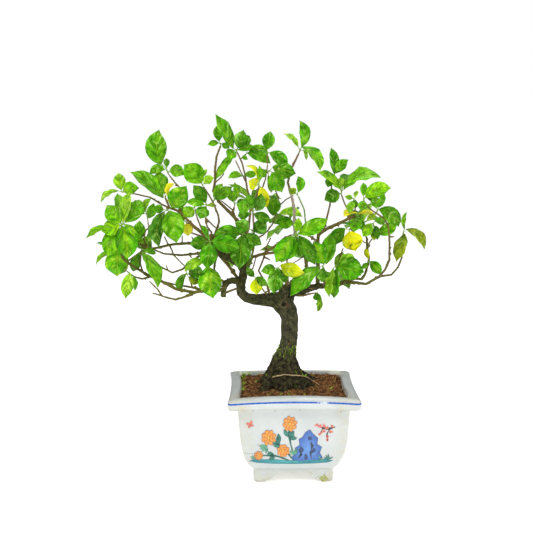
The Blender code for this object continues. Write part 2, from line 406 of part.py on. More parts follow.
def boolean(meshes, operation):
    """Join the meshes, or cut the later ones from the first, and give back one mesh."""
    objects = [bpy.data.objects.new("operand", mesh) for mesh in meshes]
    rest = bpy.data.collections.new("operands")
    bpy.context.collection.objects.link(objects[0])
    for obj in objects[1:]:
        rest.objects.link(obj)
    modifier = objects[0].modifiers.new("boolean", "BOOLEAN")
    modifier.operation = operation
    modifier.solver = "EXACT"
    modifier.use_self = True
    modifier.operand_type = "COLLECTION"
    modifier.collection = rest
    graph = bpy.context.evaluated_depsgraph_get()
    mesh = bpy.data.meshes.new_from_object(objects[0].evaluated_get(graph))
    for obj in objects:
        bpy.data.objects.remove(obj)
    bpy.data.collections.remove(rest)
    return mesh


def spread(first, last, points):
    """Radii that run evenly from first to last over the length of the points."""
    steps = [0.0]
    for a, b in zip(points, points[1:]):
        steps.append(steps[-1] + (b - a).length)
    return [(first + (last - first) * s / steps[-1]) * MM for s in steps]


# ---- pot -----------------------------------------------------------------------------------

def pot_ring(z, half, corner, bow):
    """Square ring with round corners and sides drawn in at their middles."""
    points = []
    for quarter in range(4):
        turn = Matrix.Rotation(math.pi / 2 * quarter, 3, "Z")
        for along in (-0.6, 0, 0.6):
            bend = bow * (1 - (along / 0.9) ** 2)
            points.append(turn @ Vector((half - bend, (half - corner) * along, z)))
        for angle in (0, 45, 90):
            c, s = math.cos(math.radians(angle)), math.sin(math.radians(angle))
            points.append(turn @ Vector((half - corner + corner * c,
                                         half - corner + corner * s, z)))
    most = RIM_SAG * min(1, max(0, (z - 80) / 20))
    sag = [most * min(1, (p.x * p.y / half ** 2) ** 2) for p in points]
    return [Vector((p.x + POT_X, p.y, p.z - d)) * MM for p, d in zip(points, sag)]


def bow_at(z):
    """The sides are flat at the feet and drawn in most at the rim."""
    return POT_BOW * min(1, max(0, (z - 15) / 60))


def make_pot():
    """Square bowl with a lip on four bracket feet, holed in the middle of its floor."""
    bm = bmesh.new()
    rings = [pot_ring(z, half, POT_CORNER, bow_at(z)) for z, half in POT_OUTSIDE]
    rings += [pot_ring(z, half, 3.5, bow_at(z)) for z, half in POT_INSIDE]
    grow(bm, rings)
    cutters = []
    arch = [(-ARCH_LOW, -1), (-ARCH_LOW + 0.6, 1.5), (-29, 3.4), (-24, 7.6), (-21.4, 10.8),
            (-ARCH_HIGH, ARCH_Z)]
    arch += [(-x, z) for x, z in reversed(arch)]
    for turn in (0, 90):
        cut = bmesh.new()
        spin = Matrix.Rotation(math.radians(turn), 3, "Z")
        middle = Vector((POT_X, 0, 0))
        grow(cut, [[(middle + spin @ Vector((x, y, z))) * MM for x, z in arch]
                   for y in (-60, 60)])
        cutters.append(mesh_of(cut))
    drain = bmesh.new()
    bmesh.ops.create_cone(drain, cap_ends=True, segments=16, radius1=DRAIN_R * MM,
                          radius2=DRAIN_R * MM, depth=20 * MM,
                          matrix=Matrix.Translation((POT_X * MM, 0, 16 * MM)))
    cutters.append(mesh_of(drain))
    mesh = boolean([mesh_of(bm), *cutters], "DIFFERENCE")
    return make_object("pot", mesh, plastic("glaze", (0.80, 0.83, 0.82), 0.18, 0.5))


def inside_half(z):
    """Half width of the pot's hollow at a height."""
    for (z0, h0), (z1, h1) in zip(POT_INSIDE[1:], POT_INSIDE[2:]):
        if z1 <= z <= z0:
            return h1 + (h0 - h1) * (z - z1) / (z0 - z1)
    return POT_INSIDE[-1][1]


def make_soil(wood_below):
    """Fill of the pot, heaped a little towards the trunk, with a socket for the roots."""
    slack = GAP * 1.15
    levels = [FLOOR_Z + slack] + [z for z, _ in reversed(POT_INSIDE) if FLOOR_Z < z < SOIL_EDGE_Z]
    levels.append(SOIL_EDGE_Z)
    rings = [pot_ring(z, inside_half(z) - slack, 3.5, bow_at(z)) for z in levels]
    for share, z in ((0.9, 108.0), (0.7, 109.2), (0.45, 110.6)):
        rings.append(pot_ring(z, 64 * share, 3.5, bow_at(z) * share))
    bm = bmesh.new()
    grow(bm, rings)
    net = bmesh.new()
    side = MESH_SIZE + 2 * GAP
    bmesh.ops.create_cube(net, size=1, matrix=Matrix.Translation(
        (POT_X * MM, 0, FLOOR_Z * MM)) @ Matrix.Diagonal(
        (side * MM, side * MM, 2 * (MESH_THICK + 2 * GAP) * MM, 1)))
    mesh = boolean([mesh_of(bm), mesh_of(net), *wood_below], "DIFFERENCE")
    return make_object("soil", mesh, plastic("earth", (0.16, 0.065, 0.03), 0.95))


def make_drain_mesh():
    """Plastic net over the drain hole, under the soil."""
    bm = bmesh.new()
    middle = Matrix.Translation((POT_X * MM, 0, (FLOOR_Z + GAP + MESH_THICK / 2) * MM))
    bmesh.ops.create_cube(bm, size=1, matrix=middle @ Matrix.Diagonal(
        (MESH_SIZE * MM, MESH_SIZE * MM, MESH_THICK * MM, 1)))
    holes = []
    for row in range(-1, 2):
        for column in range(-1, 2):
            hole = bmesh.new()
            bmesh.ops.create_cube(hole, size=1, matrix=middle @ Matrix.Translation(
                (row * 9.0 * MM, column * 9.0 * MM, 0)) @ Matrix.Diagonal(
                (6.0 * MM, 6.0 * MM, 4 * MM, 1)))
            holes.append(mesh_of(hole))
    mesh = boolean([mesh_of(bm), *holes], "DIFFERENCE")
    return make_object("drain_mesh", mesh, plastic("net", (0.03, 0.03, 0.03), 0.6))


# ---- wood ----------------------------------------------------------------------------------

def solid_tube(rows, extra=0.0, sides=8):
    """Tube through rows of x, y, z, radius; extra fattens and lengthens it for a socket."""
    places = [Vector(row[:3]) * MM for row in rows]
    if extra:
        places[0] += (places[0] - places[1]).normalized() * extra * MM
        places[-1] += (places[-1] - places[-2]).normalized() * extra * MM
    return tube(places, [(row[3] + extra) * MM for row in rows], sides)


def make_wood():
    """Root ball, trunk, surface roots and every branch, grown as one."""
    parts = [solid_tube(TRUNK, sides=12)]
    parts += [solid_tube(rows, sides=8) for rows in LUMPS + ROOTS]
    for first, last, sides, drawn in BRANCHES.values():
        points = [seen(p) for p in drawn]
        parts.append(tube(points, spread(first, last, points), sides))
    mesh = boolean(parts, "UNION")
    return make_object("tree_wood", mesh, plastic("bark", (0.09, 0.075, 0.05), 0.9), 50)


# ---- leaves --------------------------------------------------------------------------------

def faces_of(mesh):
    """Search tree of a mesh."""
    return BVHTree.FromPolygons([v.co for v in mesh.vertices],
                                [tuple(p.vertices) for p in mesh.polygons])


def ring_tree(rings, tip):
    """Search tree of a leaf's sections and point."""
    points = [p for ring in rings for p in ring] + [tip]
    faces = [(4 * r + k, 4 * r + (k + 1) % 4, 4 * r + 4 + (k + 1) % 4, 4 * r + 4 + k)
             for r in range(len(rings) - 1) for k in range(4)]
    last = 4 * (len(rings) - 1)
    faces += [(last + k, last + (k + 1) % 4, len(points) - 1) for k in range(4)]
    return BVHTree.FromPolygons(points, faces)


def leaf_rings(root, foot, tip, breadth, facing, roll, sway, fatter=0.0):
    """Four-point sections of a leaf: left edge, top, right edge, midrib underneath."""
    along = (tip - foot).normalized()
    up = (facing - along * facing.dot(along)).normalized()
    turned = [Matrix.Rotation(way * roll, 3, along) @ up for way in (1, -1)]
    up = max(turned, key=lambda v: v.z)
    length = (tip - foot).length
    half = LEAF_THICK * MM / 2 + fatter
    rings = []
    for share, width in ((0.0, 0.0), (0.24, 0.74), (0.52, 1.0), (0.78, 0.78)):
        bow = 4 * share * (1 - share)
        middle = foot + along * length * share + up * (LEAF_ARCH * length * bow) + sway * bow
        across = (along * length + sway * (4 - 8 * share)).cross(up).normalized()
        reach = max(breadth * width / 2, STALK_HALF * MM) + fatter
        fold = max(breadth * width, 1.2 * MM) * LEAF_FOLD
        rings.append([middle - across * reach + up * fold, middle + up * half,
                      middle + across * reach + up * fold, middle - up * half])
    stalk = [root + (p - foot) * 0.8 for p in rings[0]]
    return [stalk, *rings]


def nearest_on(path, point):
    """Point of a polyline nearest to another point, kept off its very ends."""
    best = None
    for a, b in zip(path, path[1:]):
        span = b - a
        share = max(0.0, min(1.0, (point - a).dot(span) / span.length_squared))
        spot = a + span * share
        if best is None or (spot - point).length < (best - point).length:
            best = spot
    low = path[0] + (path[1] - path[0]).normalized() * 1.1 * MM
    high = path[-1] + (path[-2] - path[-1]).normalized() * 0.5 * MM
    if (best - path[0]).length < 1.1 * MM:
        return low
    return high if (best - path[-1]).length < 0.5 * MM else best


def clear_start(path, wood_tree):
    """Draw the stem's first point back along its first length to GAP from the wood."""
    axis = path[0] - path[1]
    side = axis.orthogonal().normalized() * STEM_R * MM
    spin = [Matrix.Rotation(math.tau * k / 8, 3, axis) @ side * share
            for k in range(8) for share in (1.0, 0.6, 0.2)]
    steps = int(axis.length / (0.05 * MM))
    best = path[1]
    for step in range(steps + 1):
        spot = path[1] + axis * (step / steps)
        if min(wood_tree.find_nearest(spot + s)[3] for s in spin) < GAP * MM:
            break
        best = spot
    if best == path[1]:
        print("stem starts inside the wood", path[0] / MM)
    return [best, *path[1:]]


def list_tries():
    """Ways to move a leaf that meets another: depth of its tip, roll and swing, mildest first."""
    ways = [(dy, roll, swing) for dy in (0, -5, 5, -10, 10, -16, 16, -24, 24, -34, 34)
            for roll in (0, 18, -18, 36) for swing in (0, 7, -7, 14, -14)]
    return sorted(ways, key=lambda w: abs(w[0]) * 0.9 + abs(w[1]) * 0.5 + abs(w[2]) * 1.2)


def place_leaf(spec, path, others, own, own_stem):
    """Find the mildest change that keeps the leaf off everything, and give its rings and tip."""
    for size in (1.0, 0.86, 0.74):
        for dy, roll, swing in TRIES:
            root, foot, tip, breadth, facing, tilt, sway = spec(dy, swing, size, path)
            turn = tilt + math.radians(roll)
            fat = leaf_rings(root, foot, tip, breadth, facing, turn, sway, 0.42 * MM)
            far = tip + (tip - foot).normalized() * 0.6 * MM
            whole, blade = ring_tree(fat, far), ring_tree(fat[1:], far)
            outer = ring_tree(fat[2:], far)
            if any(whole.overlap(tree) for tree in others):
                continue
            if any(blade.overlap(tree) for tree in own) or outer.overlap(own_stem):
                continue
            rings = leaf_rings(root, foot, tip, breadth, facing, turn, sway)
            return rings, tip, (dy, roll, swing, size)
    return None


def drawn_leaf(leaf):
    """A leaf read from the front elevation."""
    foot_x, foot_z, tip_x, tip_z, back, shows, *bend = leaf

    def spec(dy, swing, size, path):
        away = Vector((tip_x - foot_x, 0, tip_z - foot_z))
        away = Matrix.Rotation(math.radians(swing), 3, "Y") @ away * size
        guess = seen((foot_x, path[-1].y / MM, foot_z))
        root = nearest_on(path, guess)
        depth = root.y / MM
        foot = seen((foot_x, depth + back * 0.1, foot_z))
        tip = seen((foot_x + away.x, depth + back + dy, foot_z + away.z))
        length = (tip - foot).length
        breadth = max(shows * size * MM, 0.42 * length)
        tilt = math.acos(max(0.3, min(1.0, shows * size * MM / breadth)))
        left = Vector((-away.z, 0, away.x)).normalized() * (bend[0] if bend else 0) * size * MM
        return root, foot, tip, breadth, EYE * MM - foot, tilt, left
    return spec


def whorl_leaf(number, length, start):
    """One leaf of a whorl round a stem's end, turned on from the last by the golden angle."""
    def spec(dy, swing, size, path):
        axis = (path[-1] - path[-2]).normalized()
        side = axis.cross(Vector((0, 0, 1))).normalized()
        turn = Matrix.Rotation(math.radians(start + 137.5 * number + swing), 3, axis)
        radial = turn @ side
        open_angle = math.radians(58 + 9 * (number % 3) + dy)
        heading = axis * math.cos(open_angle) + radial * math.sin(open_angle)
        heading.z -= 0.12
        root = path[-1] - axis * (0.6 + 0.5 * (number % 2)) * MM
        foot = root + (axis * 0.4 + radial).normalized() * 3.4 * MM
        reach = (length - 3 * (number % 3)) * size * MM
        tip = foot + heading.normalized() * reach
        return root, foot, tip, 0.5 * reach, axis + Vector((0, 0, 0.5)), 0.0, Vector()
    return spec


def make_shoots(wood, soil):
    """Every shoot as one body: its stem with its leaves, each kept off all the others."""
    wood_tree = faces_of(wood.data)
    green = [plastic("leaf", (0.13, 0.36, 0.03), 0.4), plastic("leaf_pale", (0.25, 0.5, 0.05), 0.4),
             plastic("leaf_dark", (0.06, 0.24, 0.03), 0.4)]
    shoots = []
    for name, (stem, leaves) in SHOOTS.items():
        shoots.append((name, [seen(p) for p in stem], [drawn_leaf(leaf) for leaf in leaves]))
    for number, (branch, (count, length, start)) in enumerate(REAR_WHORLS.items(), 1):
        before, end = (seen(p) for p in BRANCHES[branch][3][-2:])
        ahead = end + (end - before).normalized() * 5.0 * MM
        shoots.append(("shoot_rear_%d" % number, [end, ahead],
                       [whorl_leaf(k, length, start) for k in range(count)]))
    stems = []
    for name, path, _ in shoots:
        path[:] = clear_start(path, wood_tree)
        stem = tube(path, spread(STEM_R, STEM_R * 0.75, path), 6)
        stems.append(stem)
        if wood_tree.overlap(faces_of(stem)):
            print(name, "stem meets the wood")
    stem_trees = [faces_of(stem) for stem in stems]
    placed = [[] for _ in shoots]
    for index, (name, path, specs) in enumerate(shoots):
        pieces = [stems[index]]
        for number, spec in enumerate(specs):
            others = [wood_tree, *(t for k, t in enumerate(stem_trees) if k != index)]
            others += [t for k, trees in enumerate(placed) if k != index for t in trees]
            found = place_leaf(spec, path, others, placed[index], stem_trees[index])
            if found is None:
                print(name, "leaf", number, "left out")
                continue
            rings, tip, change = found
            if change != (0, 0, 0, 1.0):
                print(name, "leaf", number, "moved by", change)
            bm = bmesh.new()
            grow(bm, rings, tip)
            pieces.append(mesh_of(bm))
            placed[index].append(ring_tree(rings, tip))
        mesh = boolean(pieces, "UNION")
        make_object(name, mesh, green[index % 3])


def make_surface_root(grounds):
    """Thin pale root that lies across the foot of the trunk and over the soil."""
    trees = [faces_of(obj.data) for obj in grounds]
    lift = SURFACE_ROOT_R + GAP
    for _ in range(12):
        points = []
        for x, z in SURFACE_ROOT:
            ray = (Vector((x, 0, z)) - EYE).normalized()
            hits = [tree.ray_cast(EYE * MM, ray) for tree in trees]
            place, normal, _, _ = min((h for h in hits if h[0]), key=lambda h: h[3])
            points.append(place + normal * lift * MM)
        mesh = tube(points, spread(SURFACE_ROOT_R, SURFACE_ROOT_R * 0.7, points), 6)
        thick = faces_of(tube(points, [(SURFACE_ROOT_R + 0.2) * MM] * len(points), 6))
        if not any(tree.overlap(thick) for tree in trees):
            break
        lift += 0.25
    print("surface root lies", round(lift - SURFACE_ROOT_R, 2), "mm clear")
    return make_object("surface_root", mesh, plastic("pale_root", (0.55, 0.33, 0.15), 0.8))


def main():
    for obj in list(bpy.data.objects):
        bpy.data.objects.remove(obj)
    TRIES[:] = list_tries()
    make_pot()
    make_drain_mesh()
    wood = make_wood()
    sockets = [solid_tube(TRUNK[:6], GAP, 12)] + [solid_tube(rows, GAP, 8) for rows in ROOTS]
    soil = make_soil(sockets)
    make_surface_root([wood, soil])
    make_shoots(wood, soil)


main()
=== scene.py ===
import random
from math import cos, exp, hypot, pi, radians, sin, tau

import bmesh
import bpy
from mathutils import Matrix, Vector, noise
from mathutils.bvhtree import BVHTree


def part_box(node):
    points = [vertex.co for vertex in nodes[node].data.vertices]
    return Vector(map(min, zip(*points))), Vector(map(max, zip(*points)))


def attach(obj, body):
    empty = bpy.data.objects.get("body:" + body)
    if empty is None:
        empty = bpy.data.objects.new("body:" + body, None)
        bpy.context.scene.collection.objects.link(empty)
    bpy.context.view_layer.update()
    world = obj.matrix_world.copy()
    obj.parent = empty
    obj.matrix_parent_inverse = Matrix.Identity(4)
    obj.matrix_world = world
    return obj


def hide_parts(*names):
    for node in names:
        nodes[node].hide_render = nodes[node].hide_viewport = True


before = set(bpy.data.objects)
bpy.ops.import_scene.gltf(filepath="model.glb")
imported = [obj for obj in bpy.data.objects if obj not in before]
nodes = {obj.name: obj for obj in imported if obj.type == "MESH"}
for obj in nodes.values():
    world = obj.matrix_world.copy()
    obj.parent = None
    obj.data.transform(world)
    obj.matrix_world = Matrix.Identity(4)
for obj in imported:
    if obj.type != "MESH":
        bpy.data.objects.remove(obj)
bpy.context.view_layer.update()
mm = 0.001
print("frame loaded:", len(nodes), "nodes")


# small tools

def ink(*screen):  # colour as seen on a screen, 0 to 255, made linear
    values = (value / 255 for value in screen)
    return (*(v / 12.92 if v <= 0.04045 else ((v + 0.055) / 1.055) ** 2.4 for v in values), 1.0)


def grey(value):
    return (value, value, value, 1.0)


def mixed(first, second, share):
    share = max(0.0, min(1.0, share))
    return tuple(a + (b - a) * share for a, b in zip(first, second))


def scaled(colour, factor):
    return (colour[0] * factor, colour[1] * factor, colour[2] * factor, 1.0)


def ease(value, low, high):  # 0 below low, 1 above high, smooth between; low may be above high
    share = max(0.0, min(1.0, (value - low) / (high - low)))
    return share * share * (3 - 2 * share)


def linked(name, data):  # an object in the scene
    thing = bpy.data.objects.new(name, data)
    bpy.context.scene.collection.objects.link(thing)
    return thing


def opened(mesh):  # a mesh as a bmesh
    bm = bmesh.new()
    bm.from_mesh(mesh)
    return bm


def meshOf(bm, sharp=None):
    mesh = bpy.data.meshes.new("piece")
    bm.to_mesh(mesh)
    bm.free()
    mesh.shade_smooth()
    if sharp:
        mesh.set_sharp_from_angle(angle=radians(sharp))
    return mesh


def joined(parts):  # many small bmeshes as one
    whole = bmesh.new()
    for bm in parts:
        mesh = meshOf(bm)
        whole.from_mesh(mesh)
        bpy.data.meshes.remove(mesh)
    return whole


def mergedCopy(node):  # a node's loose triangles as one joined bmesh
    bm = opened(nodes[node].data)
    bmesh.ops.remove_doubles(bm, verts=bm.verts, dist=2e-6)
    bm.verts.index_update()
    return bm


def fillHoles(bm):
    bmesh.ops.holes_fill(bm, edges=[e for e in bm.edges if e.is_boundary], sides=0)


def splitBigFaces(bm):
    bmesh.ops.triangulate(bm, faces=[f for f in bm.faces if len(f.verts) > 4])


def upperPart(node, height):  # what a node has above a height, closed again
    bm = mergedCopy(node)
    everything = bm.verts[:] + bm.edges[:] + bm.faces[:]
    bmesh.ops.bisect_plane(bm, geom=everything, dist=1e-7, plane_co=(0, 0, height * mm),
                           plane_no=(0, 0, -1), clear_outer=True)
    fillHoles(bm)
    splitBigFaces(bm)
    return bm


def smooth(bm, factor):
    bmesh.ops.smooth_vert(bm, verts=bm.verts, factor=factor,
                          use_axis_x=True, use_axis_y=True, use_axis_z=True)


def newVerts(made):
    return [item for item in made["geom"] if isinstance(item, bmesh.types.BMVert)]


def shaped(mesh, kind, **settings):  # the mesh after one modifier
    holder = linked("holder", mesh)
    modifier = holder.modifiers.new("step", kind)
    for key, value in settings.items():
        setattr(modifier, key, value)
    graph = bpy.context.evaluated_depsgraph_get()
    result = bpy.data.meshes.new_from_object(holder.evaluated_get(graph))
    bpy.data.objects.remove(holder)
    return result


def remeshed(bm, voxel):
    return opened(shaped(meshOf(bm), "REMESH", mode="VOXEL", voxel_size=voxel * mm))


def addPiece(name, mesh, materials, slotName, *stoodFor):
    for index, material in enumerate(materials):  # faces keep their material number
        if index < len(mesh.materials):
            mesh.materials[index] = material
        else:
            mesh.materials.append(material)
    piece = linked(name, mesh)
    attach(piece, "root")
    if stoodFor:
        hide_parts(*stoodFor)


def paintAll(bm, colourOf):
    layer = bm.verts.layers.float_color.new("tone")
    for vert in bm.verts:
        vert[layer] = colourOf(vert)


def growTube(bm, points, radii, sides=6, flat=1.0):  # a closed tube along the points
    heading = (points[1] - points[0]).normalized()
    turn = heading.to_track_quat("Z", "Y").to_matrix().to_4x4()
    place = Matrix.Translation(points[0]) @ turn @ Matrix.Diagonal((1, flat, 1, 1))
    made = bmesh.ops.create_circle(bm, cap_ends=True, segments=sides, radius=radii[0], matrix=place)
    verts = list(made["verts"])
    face = verts[0].link_faces[0]
    for index in range(1, len(points)):
        ahead = (points[min(index + 1, len(points) - 1)] - points[index - 1]).normalized()
        swing = heading.rotation_difference(ahead)
        heading = ahead
        grown = bmesh.ops.extrude_face_region(bm, geom=[face])["geom"]
        if index > 1:
            bmesh.ops.delete(bm, geom=[face], context="FACES_ONLY")
        face = next(item for item in grown if isinstance(item, bmesh.types.BMFace))
        scale = radii[index] / radii[index - 1]
        for vert in face.verts:
            vert.co = points[index] + (swing @ (vert.co - points[index - 1])) * scale
            verts.append(vert)
    faces = list(dict.fromkeys(f for v in verts for f in v.link_faces))
    bmesh.ops.recalc_face_normals(bm, faces=faces)


def tubePart(points, radii, sides, colour, flat=1.0):  # such a tube alone, in one colour
    bm = bmesh.new()
    growTube(bm, points, radii, sides, flat)
    paintAll(bm, lambda vert: colour)
    return bm


def curvePoint(stops, places, share):  # smooth curve through places at their shares
    last = len(stops) - 1
    k = max(0, min(last - 1, next((i for i in range(last) if share <= stops[i + 1]), last - 1)))
    width = stops[k + 1] - stops[k]
    t = (share - stops[k]) / width

    def slope(i):
        a, b = max(0, i - 1), min(last, i + 1)
        return (places[b] - places[a]) / (stops[b] - stops[a])
    t2, t3 = t * t, t * t * t
    return (places[k] * (2 * t3 - 3 * t2 + 1) + slope(k) * (width * (t3 - 2 * t2 + t))
            + places[k + 1] * (3 * t2 - 2 * t3) + slope(k + 1) * (width * (t3 - t2)))


# shader tools

class skinNodes:  # short words for the nodes of one material or group
    def __init__(self, tree):
        self.tree = tree

    def put(self, kind, values=None, **settings):  # one node with its settings and sockets
        node = self.tree.nodes.new("ShaderNode" + kind)
        for key, value in settings.items():
            setattr(node, key, value)
        for key, value in (values or {}).items():
            if isinstance(value, bpy.types.NodeSocket):
                self.tree.links.new(value, node.inputs[key])
            else:
                node.inputs[key].default_value = value
        return node

    def sums(self, operation, first, second=0.0):
        return self.put("Math", {0: first, 1: second}, operation=operation).outputs[0]

    def plus(self, first, second):
        return self.sums("ADD", first, second)

    def minus(self, first, second):
        return self.sums("SUBTRACT", first, second)

    def times(self, first, second):
        return self.sums("MULTIPLY", first, second)

    def apart(self, first, second):  # how far two values are from each other
        return self.sums("ABSOLUTE", self.minus(first, second))

    def remap(self, value, low, high, start=0.0, end=1.0):
        return self.put("MapRange", {"Value": value, "From Min": low, "From Max": high,
                                     "To Min": start, "To Max": end},
                        interpolation_type="SMOOTHSTEP").outputs[0]

    def mix(self, share, first, second, way="MIX"):
        return self.put("Mix", {0: share, 6: first, 7: second}, data_type="RGBA", blend_type=way).outputs[2]

    def tint(self, colour):  # multiplies the shade so far
        self.shade = self.mix(1.0, self.shade, colour, "MULTIPLY")

    def lay(self, mask, colour, strength=None):  # a colour over the shade so far
        share = mask if strength is None else self.times(mask, strength)
        self.shade = self.mix(share, self.shade, colour)

    def shared(self, group, *values, where=None):  # a shared group, its inputs in their order
        given = dict(enumerate((where or self.where, *values)))
        return self.put("Group", given, node_tree=sharedGroups[group]).outputs[0]

    def split(self, kind, value):
        return self.put("Separate" + kind, {0: value}).outputs

    def attribute(self, name):
        return self.put("Attribute", attribute_name=name).outputs

    def close(self, value):  # ends a group with its one output
        self.tree.links.new(value, self.tree.nodes.new("NodeGroupOutput").inputs[0])
        return self.tree

    def wire(self, rough=None, height=None, distance=0.0003, strength=0.6):  # ends a material
        ends = {"Base Color": self.shade, "Roughness": rough, "Normal": None}
        if height:
            ends["Normal"] = self.put("Bump", {"Strength": strength, "Distance": distance,
                                               "Height": height}).outputs[0]
        for key, value in ends.items():
            if value:
                self.tree.links.new(value, self.tree.nodes["Principled BSDF"].inputs[key])
        return self.material


def newGroup(name, output, **inputs):  # a tuple makes a vector input, a number a plain one
    tree = bpy.data.node_groups.new(name, "ShaderNodeTree")
    for label, value in {"vector": (0, 0, 0), **inputs}.items():
        kind = "NodeSocketVector" if isinstance(value, tuple) else "NodeSocketFloat"
        tree.interface.new_socket(label, in_out="INPUT", socket_type=kind).default_value = value
    tree.interface.new_socket(output, in_out="OUTPUT", socket_type="NodeSocketFloat")
    return skinNodes(tree), tree.nodes.new("NodeGroupInput").outputs


def makeMottle():  # soft clouds of light and dark
    kit, given = newGroup("mottle", "mask", scale=100.0, low=0.35, high=0.65)
    cloud = kit.put("TexNoise", {"Vector": given["vector"], "Scale": given["scale"],
                                 "Detail": 4.0, "Roughness": 0.6})
    return kit.close(kit.remap(cloud.outputs["Fac"], given["low"], given["high"]))


def makeSpecks():  # small scattered round marks, a share of the cells each with one
    kit, given = newGroup("specks", "mask", scale=300.0, size=0.25, share=0.2)
    cells = kit.put("TexVoronoi", {"Vector": given["vector"], "Scale": given["scale"]})
    dot = kit.remap(cells.outputs["Distance"], kit.times(given["size"], 0.6), given["size"], 1.0, 0.0)
    pick = kit.split("Color", cells.outputs["Color"])[0]
    return kit.close(kit.times(dot, kit.sums("LESS_THAN", pick, given["share"])))


def makeGrain():  # fine rough grain, as a height
    kit, given = newGroup("grain", "height", scale=900.0, stretch=(1, 1, 1))
    moved = kit.put("VectorMath", {0: given["vector"], 1: given["stretch"]}, operation="MULTIPLY")
    fine = kit.put("TexNoise", {"Vector": moved.outputs[0], "Scale": given["scale"],
                                "Detail": 5.0, "Roughness": 0.7})
    return kit.close(kit.remap(fine.outputs["Fac"], 0.25, 0.75))


sharedGroups = {"mottle": makeMottle(), "specks": makeSpecks(), "grain": makeGrain()}


def newSkin(name, fixed):
    material = bpy.data.materials.new(name)
    material.use_nodes = True
    kit = skinNodes(material.node_tree)
    for key, value in fixed.items():
        kit.tree.nodes["Principled BSDF"].inputs[key].default_value = value
    kit.material, kit.where = material, kit.put("TexCoord").outputs["Object"]
    return kit


def grainySkin(name, fixed, grain, shades, rough, bump, over=(), toned=True):
    kit = newSkin(name, fixed)
    height = kit.shared("grain", *grain)
    kit.shade = kit.mix(height, *shades)
    if toned:
        kit.shade = kit.mix(1.0, kit.attribute("tone")["Color"], kit.shade, "MULTIPLY")
    for group, values, strength, colour in over:
        kit.lay(kit.shared(group, *values), colour, strength)
    return kit.wire(kit.remap(height, 0.0, 1.0, *rough), height, *bump)


print("shader groups ready")

# wood

woodLook = {
    "rootCut": 90.0,  # everything below is hidden in the soil
    "voxel": 0.64,
    "twigSwell": 0.38,  # how much fuller the thin twigs are than the frame's
    "crackDepth": 0.75,
    "grainAlong": 85,  # noise scales of the bark's strands, along and across them
    "grainAcross": 390,
    "lumps": 95,
    "fuzz": 700,
    "knots": 210,
    "knotRise": 2.6,
    "spurs": 140,
    "spurLengths": (1.2, 1.5, 2.0, 3.4, 8.0),
    "spurRadii": (1.1, 0.9, 0.62),
    "mostFaces": 190000,
    "twig": ink(122, 104, 58),
    "olive": ink(94, 97, 28),
    "trunk": ink(61, 61, 46),
    "limb": ink(58, 60, 28),
    "crook": ink(54, 60, 32),
    "base": ink(36, 29, 21),
    "moss": ink(98, 128, 22),
    "collar": ink(112, 100, 76),
    "skin": {
        "fixed": {"Specular IOR Level": 0.12},
        "grain": (900.0, (1, 1, 0.45)),
        "shades": ((0.5, 0.48, 0.45, 1), (1.25, 1.22, 1.2, 1)),
        "rough": (0.95, 0.7),
        "bump": (0.0004, 0.8),
        "over": (("mottle", (210.0, 0.4, 0.62), 0.28, ink(120, 116, 76)),
                 ("specks", (330.0, 0.32, 0.07), 0.4, ink(150, 150, 118))),
    },
    # marks on the trunk: place, reach, how far the bark moves there, colour; the sunken ones are near
    # black, painted shade in their hollows
    "marks": [
        ((32.6, -12.1, 215.2), 3.2, -2.8, ink(16, 11, 10)),
        ((37.4, -12.4, 213.0), 3.4, 0.5, ink(98, 64, 50)),
        ((42.0, -10.6, 183.0), 1.9, -1.1, ink(12, 10, 8)),
        ((42.0, -3.0, 224.0), 4.5, -0.9, ink(20, 16, 12)),
        ((39.6, -11.0, 165.0), 1.1, 0.4, ink(150, 108, 66)),
        ((34.0, -12.4, 152.0), 3.0, 0.2, ink(70, 48, 40)),
    ],
    # stretches of branch with a colour of their own: from, to, reach, colour
    "zones": [
        ((47, -14, 300), (45, -12, 378), 7, ink(172, 164, 152)),
        ((44, -12, 378), (51, -8, 399), 7, ink(120, 92, 76)),
        ((49, -15, 298), (60, -22, 312), 4, ink(96, 150, 40)),
        ((60, -22, 312), (51, -24, 347), 5, ink(96, 160, 40)),
        ((-10, -2, 259), (-4, -22, 311), 4, ink(104, 140, 44)),
        ((-4, -22, 311), (2, -24, 356), 4, ink(150, 128, 104)),
        ((152, -10, 247), (180, 2, 290), 7, ink(126, 116, 60)),
        ((151, -11, 246), (164, -16, 290), 6, ink(104, 94, 62)),
    ],
}


def zoneTint(spot, base):
    for start, end, reach, colour in woodLook["zones"]:
        a, b = Vector(start) * mm, Vector(end) * mm
        span = b - a
        share = max(0.0, min(1.0, (spot - a).dot(span) / span.length_squared))
        gap = (spot - a - span * share).length / mm
        if gap < reach:
            base = mixed(base, colour, ease(gap, reach, reach * 0.6) * 0.85)
    return base


def markBark(spot, colour):  # extra rise in mm and colour beside the trunk's knot and scars
    rise = 0.0
    for place, reach, depth, tint in woodLook["marks"]:
        gap = (spot - Vector(place) * mm).length / mm + 0.9 * noise.noise(spot * 500)
        if gap < reach * 2.4:
            share = ease(gap, reach, reach * 0.45)
            collar = exp(-((gap / reach - 1.45) / 0.22) ** 2) * (depth < -2)
            rise += depth * share + 0.6 * collar
            # the near-black colour of the sunken marks is painted shade in their hollows
            colour = mixed(mixed(colour, tint, 0.9 * share), woodLook["collar"], 0.6 * collar)
    return rise, colour


